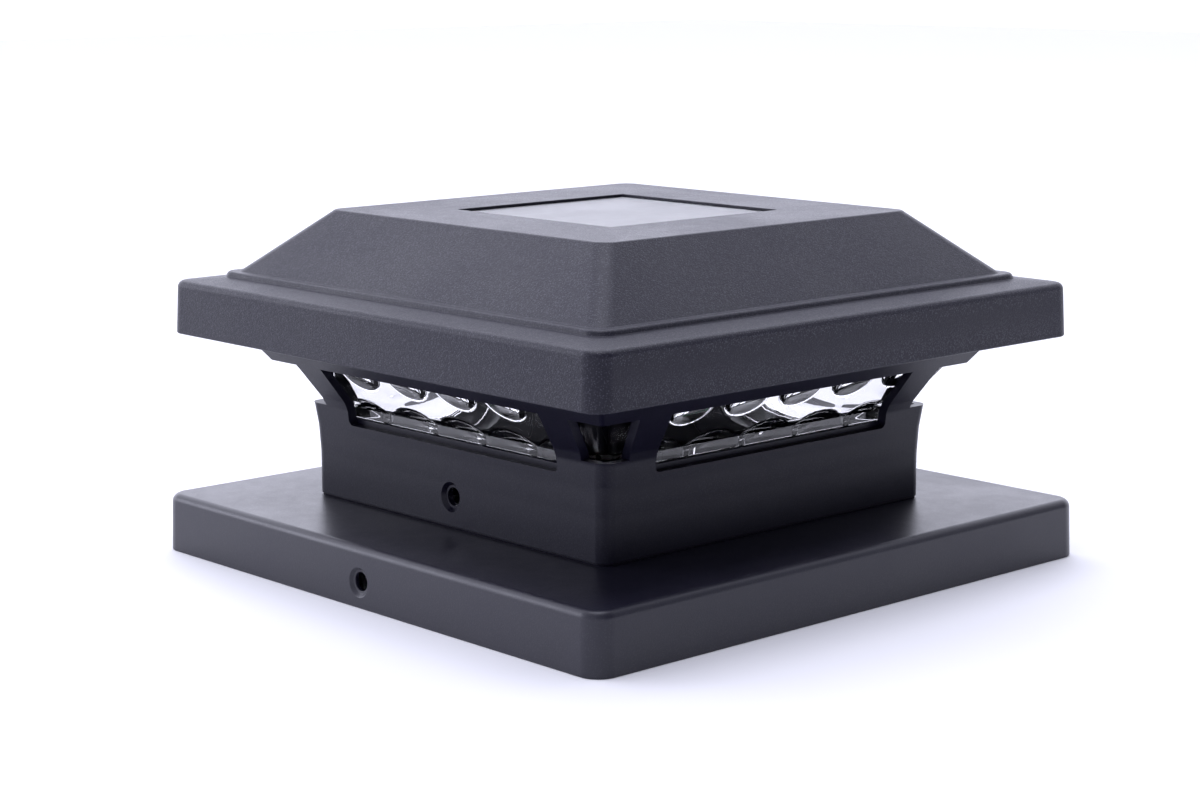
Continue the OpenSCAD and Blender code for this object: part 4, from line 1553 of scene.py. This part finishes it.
@dataclass(frozen=True)
class Studio:
    """The pale floor, the soft lights and the camera at the photograph's angle, in metres.

    Attributes:
        azimuth: Degrees that the camera stands round from -Y towards +X.
        eye: Where it stands.
        behind: Way to the bright wall, which has the strength back_light.
        left: Way to the wall that adds left_light to the rest of the room.
    """

    floor_half: float = 3.0
    azimuth: float = 47.581
    elevation: float = 10.248
    roll: float = -0.187
    eye: tuple[float, float, float] = (0.400829, -0.371478, 0.133232)
    lens_mm: float = 75.08
    behind: tuple[float, float, float] = (-0.738, 0.675, 0.0)
    left: tuple[float, float, float] = (-0.675, -0.738, 0.0)
    tint: Colour = (0.845, 0.855, 1.0)
    back_light: float = 1.95
    front_light: float = 0.17
    left_light: float = 0.9

    def build(self) -> None:
        """Sets up the floor, lights and camera."""
        self.floor()
        self.sky()
        self.softbox("overhead", (0.0, 0.0, 1.6), 0.9, 13.0)
        self.softbox("side", (-1.5, -1.1, 0.6), 0.8, 8.0)
        self.camera()

    def floor(self) -> None:
        """Lays the floor just under the light."""
        bm = bmesh.new()
        bmesh.ops.create_grid(bm, x_segments=1, y_segments=1, size=self.floor_half)
        floor = as_object("floor", bm)
        pale = Surface("pale_floor")
        pale.set(Base_Color=(0.93, 0.93, 0.935), Roughness=0.7, Specular_IOR_Level=0.2)
        floor.data.materials.append(pale.material)
        floor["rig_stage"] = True

    def sky(self) -> None:
        """Surrounds the light with a white room, brightest behind it and to its left."""
        world = bpy.data.worlds.new("white_room")
        world.use_nodes = True
        tree = Tree(world.node_tree)
        way = tree.add("TexCoord").outputs["Generated"]
        strength: float | Socket = self.front_light
        for wall, low, light in (
            (self.behind, -0.2, self.back_light - self.front_light),
            (self.left, -0.9, self.left_light),
        ):
            towards = tree.add("VectorMath", operation="DOT_PRODUCT", i0=way, i1=wall)
            strength = tree.line(tree.ramp(towards.outputs["Value"], low, 0.9), light, strength)
        background = world.node_tree.nodes["Background"]
        tree.feed(background.inputs["Color"], self.tint)
        tree.feed(background.inputs["Strength"], strength)
        bpy.context.scene.world = world

    def softbox(
        self, name: str, place: tuple[float, float, float], size: float, power: float
    ) -> None:
        """Hangs a square softbox that faces the light.

        Args:
            name: Its name.
            place: Where it hangs.
            size: Its side.
            power: Its power in watts.
        """
        lamp = bpy.data.lights.new(name, "AREA")
        lamp.shape = "SQUARE"
        lamp.size = size
        lamp.energy = power
        lamp.color = self.tint
        rig = bpy.data.objects.new(name, lamp)
        rig.location = place
        aim = Vector((0, 0, 0.04)) - Vector(place)
        rig.rotation_euler = aim.to_track_quat("-Z", "Y").to_euler()
        bpy.context.scene.collection.objects.link(rig)

    def camera(self) -> None:
        """Sets the camera where the photograph was taken from."""
        turn, tilt, roll = (math.radians(v) for v in (self.azimuth, self.elevation, self.roll))
        right = Vector((math.cos(turn), math.sin(turn), 0))
        back = Vector((math.sin(turn), -math.cos(turn), 0)) * math.cos(tilt)
        back.z = math.sin(tilt)
        up = back.cross(right)
        x_axis = math.cos(roll) * right + math.sin(roll) * up
        y_axis = -math.sin(roll) * right + math.cos(roll) * up
        turned = Matrix((x_axis, y_axis, back)).transposed().to_4x4()
        data = bpy.data.cameras.new("camera")
        data.sensor_width = 36.0
        data.lens = self.lens_mm
        data.clip_start = 0.01
        camera = bpy.data.objects.new("camera", data)
        camera.matrix_world = Matrix.Translation(self.eye) @ turned
        bpy.context.scene.collection.objects.link(camera)
        bpy.context.scene.camera = camera


def corners(bounds: Iterable[Sequence[float]]) -> list[list[float]]:
    """Turns a box into plain lists of numbers."""
    return [[float(value) for value in corner] for corner in bounds]


def main() -> dict[str, list[list[float]]]:
    """Builds the light piece by piece.

    Returns:
        The boxes of the CAD model and of the finished light.
    """
    logging.basicConfig(level=logging.INFO, format="%(name)s: %(message)s")
    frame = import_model()
    cad_box = corners(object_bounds())
    nodes = frame["nodes"]
    for assembly in (PostSkirt(), WindowFrame(), Lens(), RoofCap()):
        assembly.build()
    SolarPanel().build(nodes)
    Works().build(nodes)
    Studio().build()
    bpy.context.scene.view_settings.view_transform = "Standard"
    return {"cad": cad_box, "visual": corners(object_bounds())}


if __name__ == "__main__":
    sizes = main()
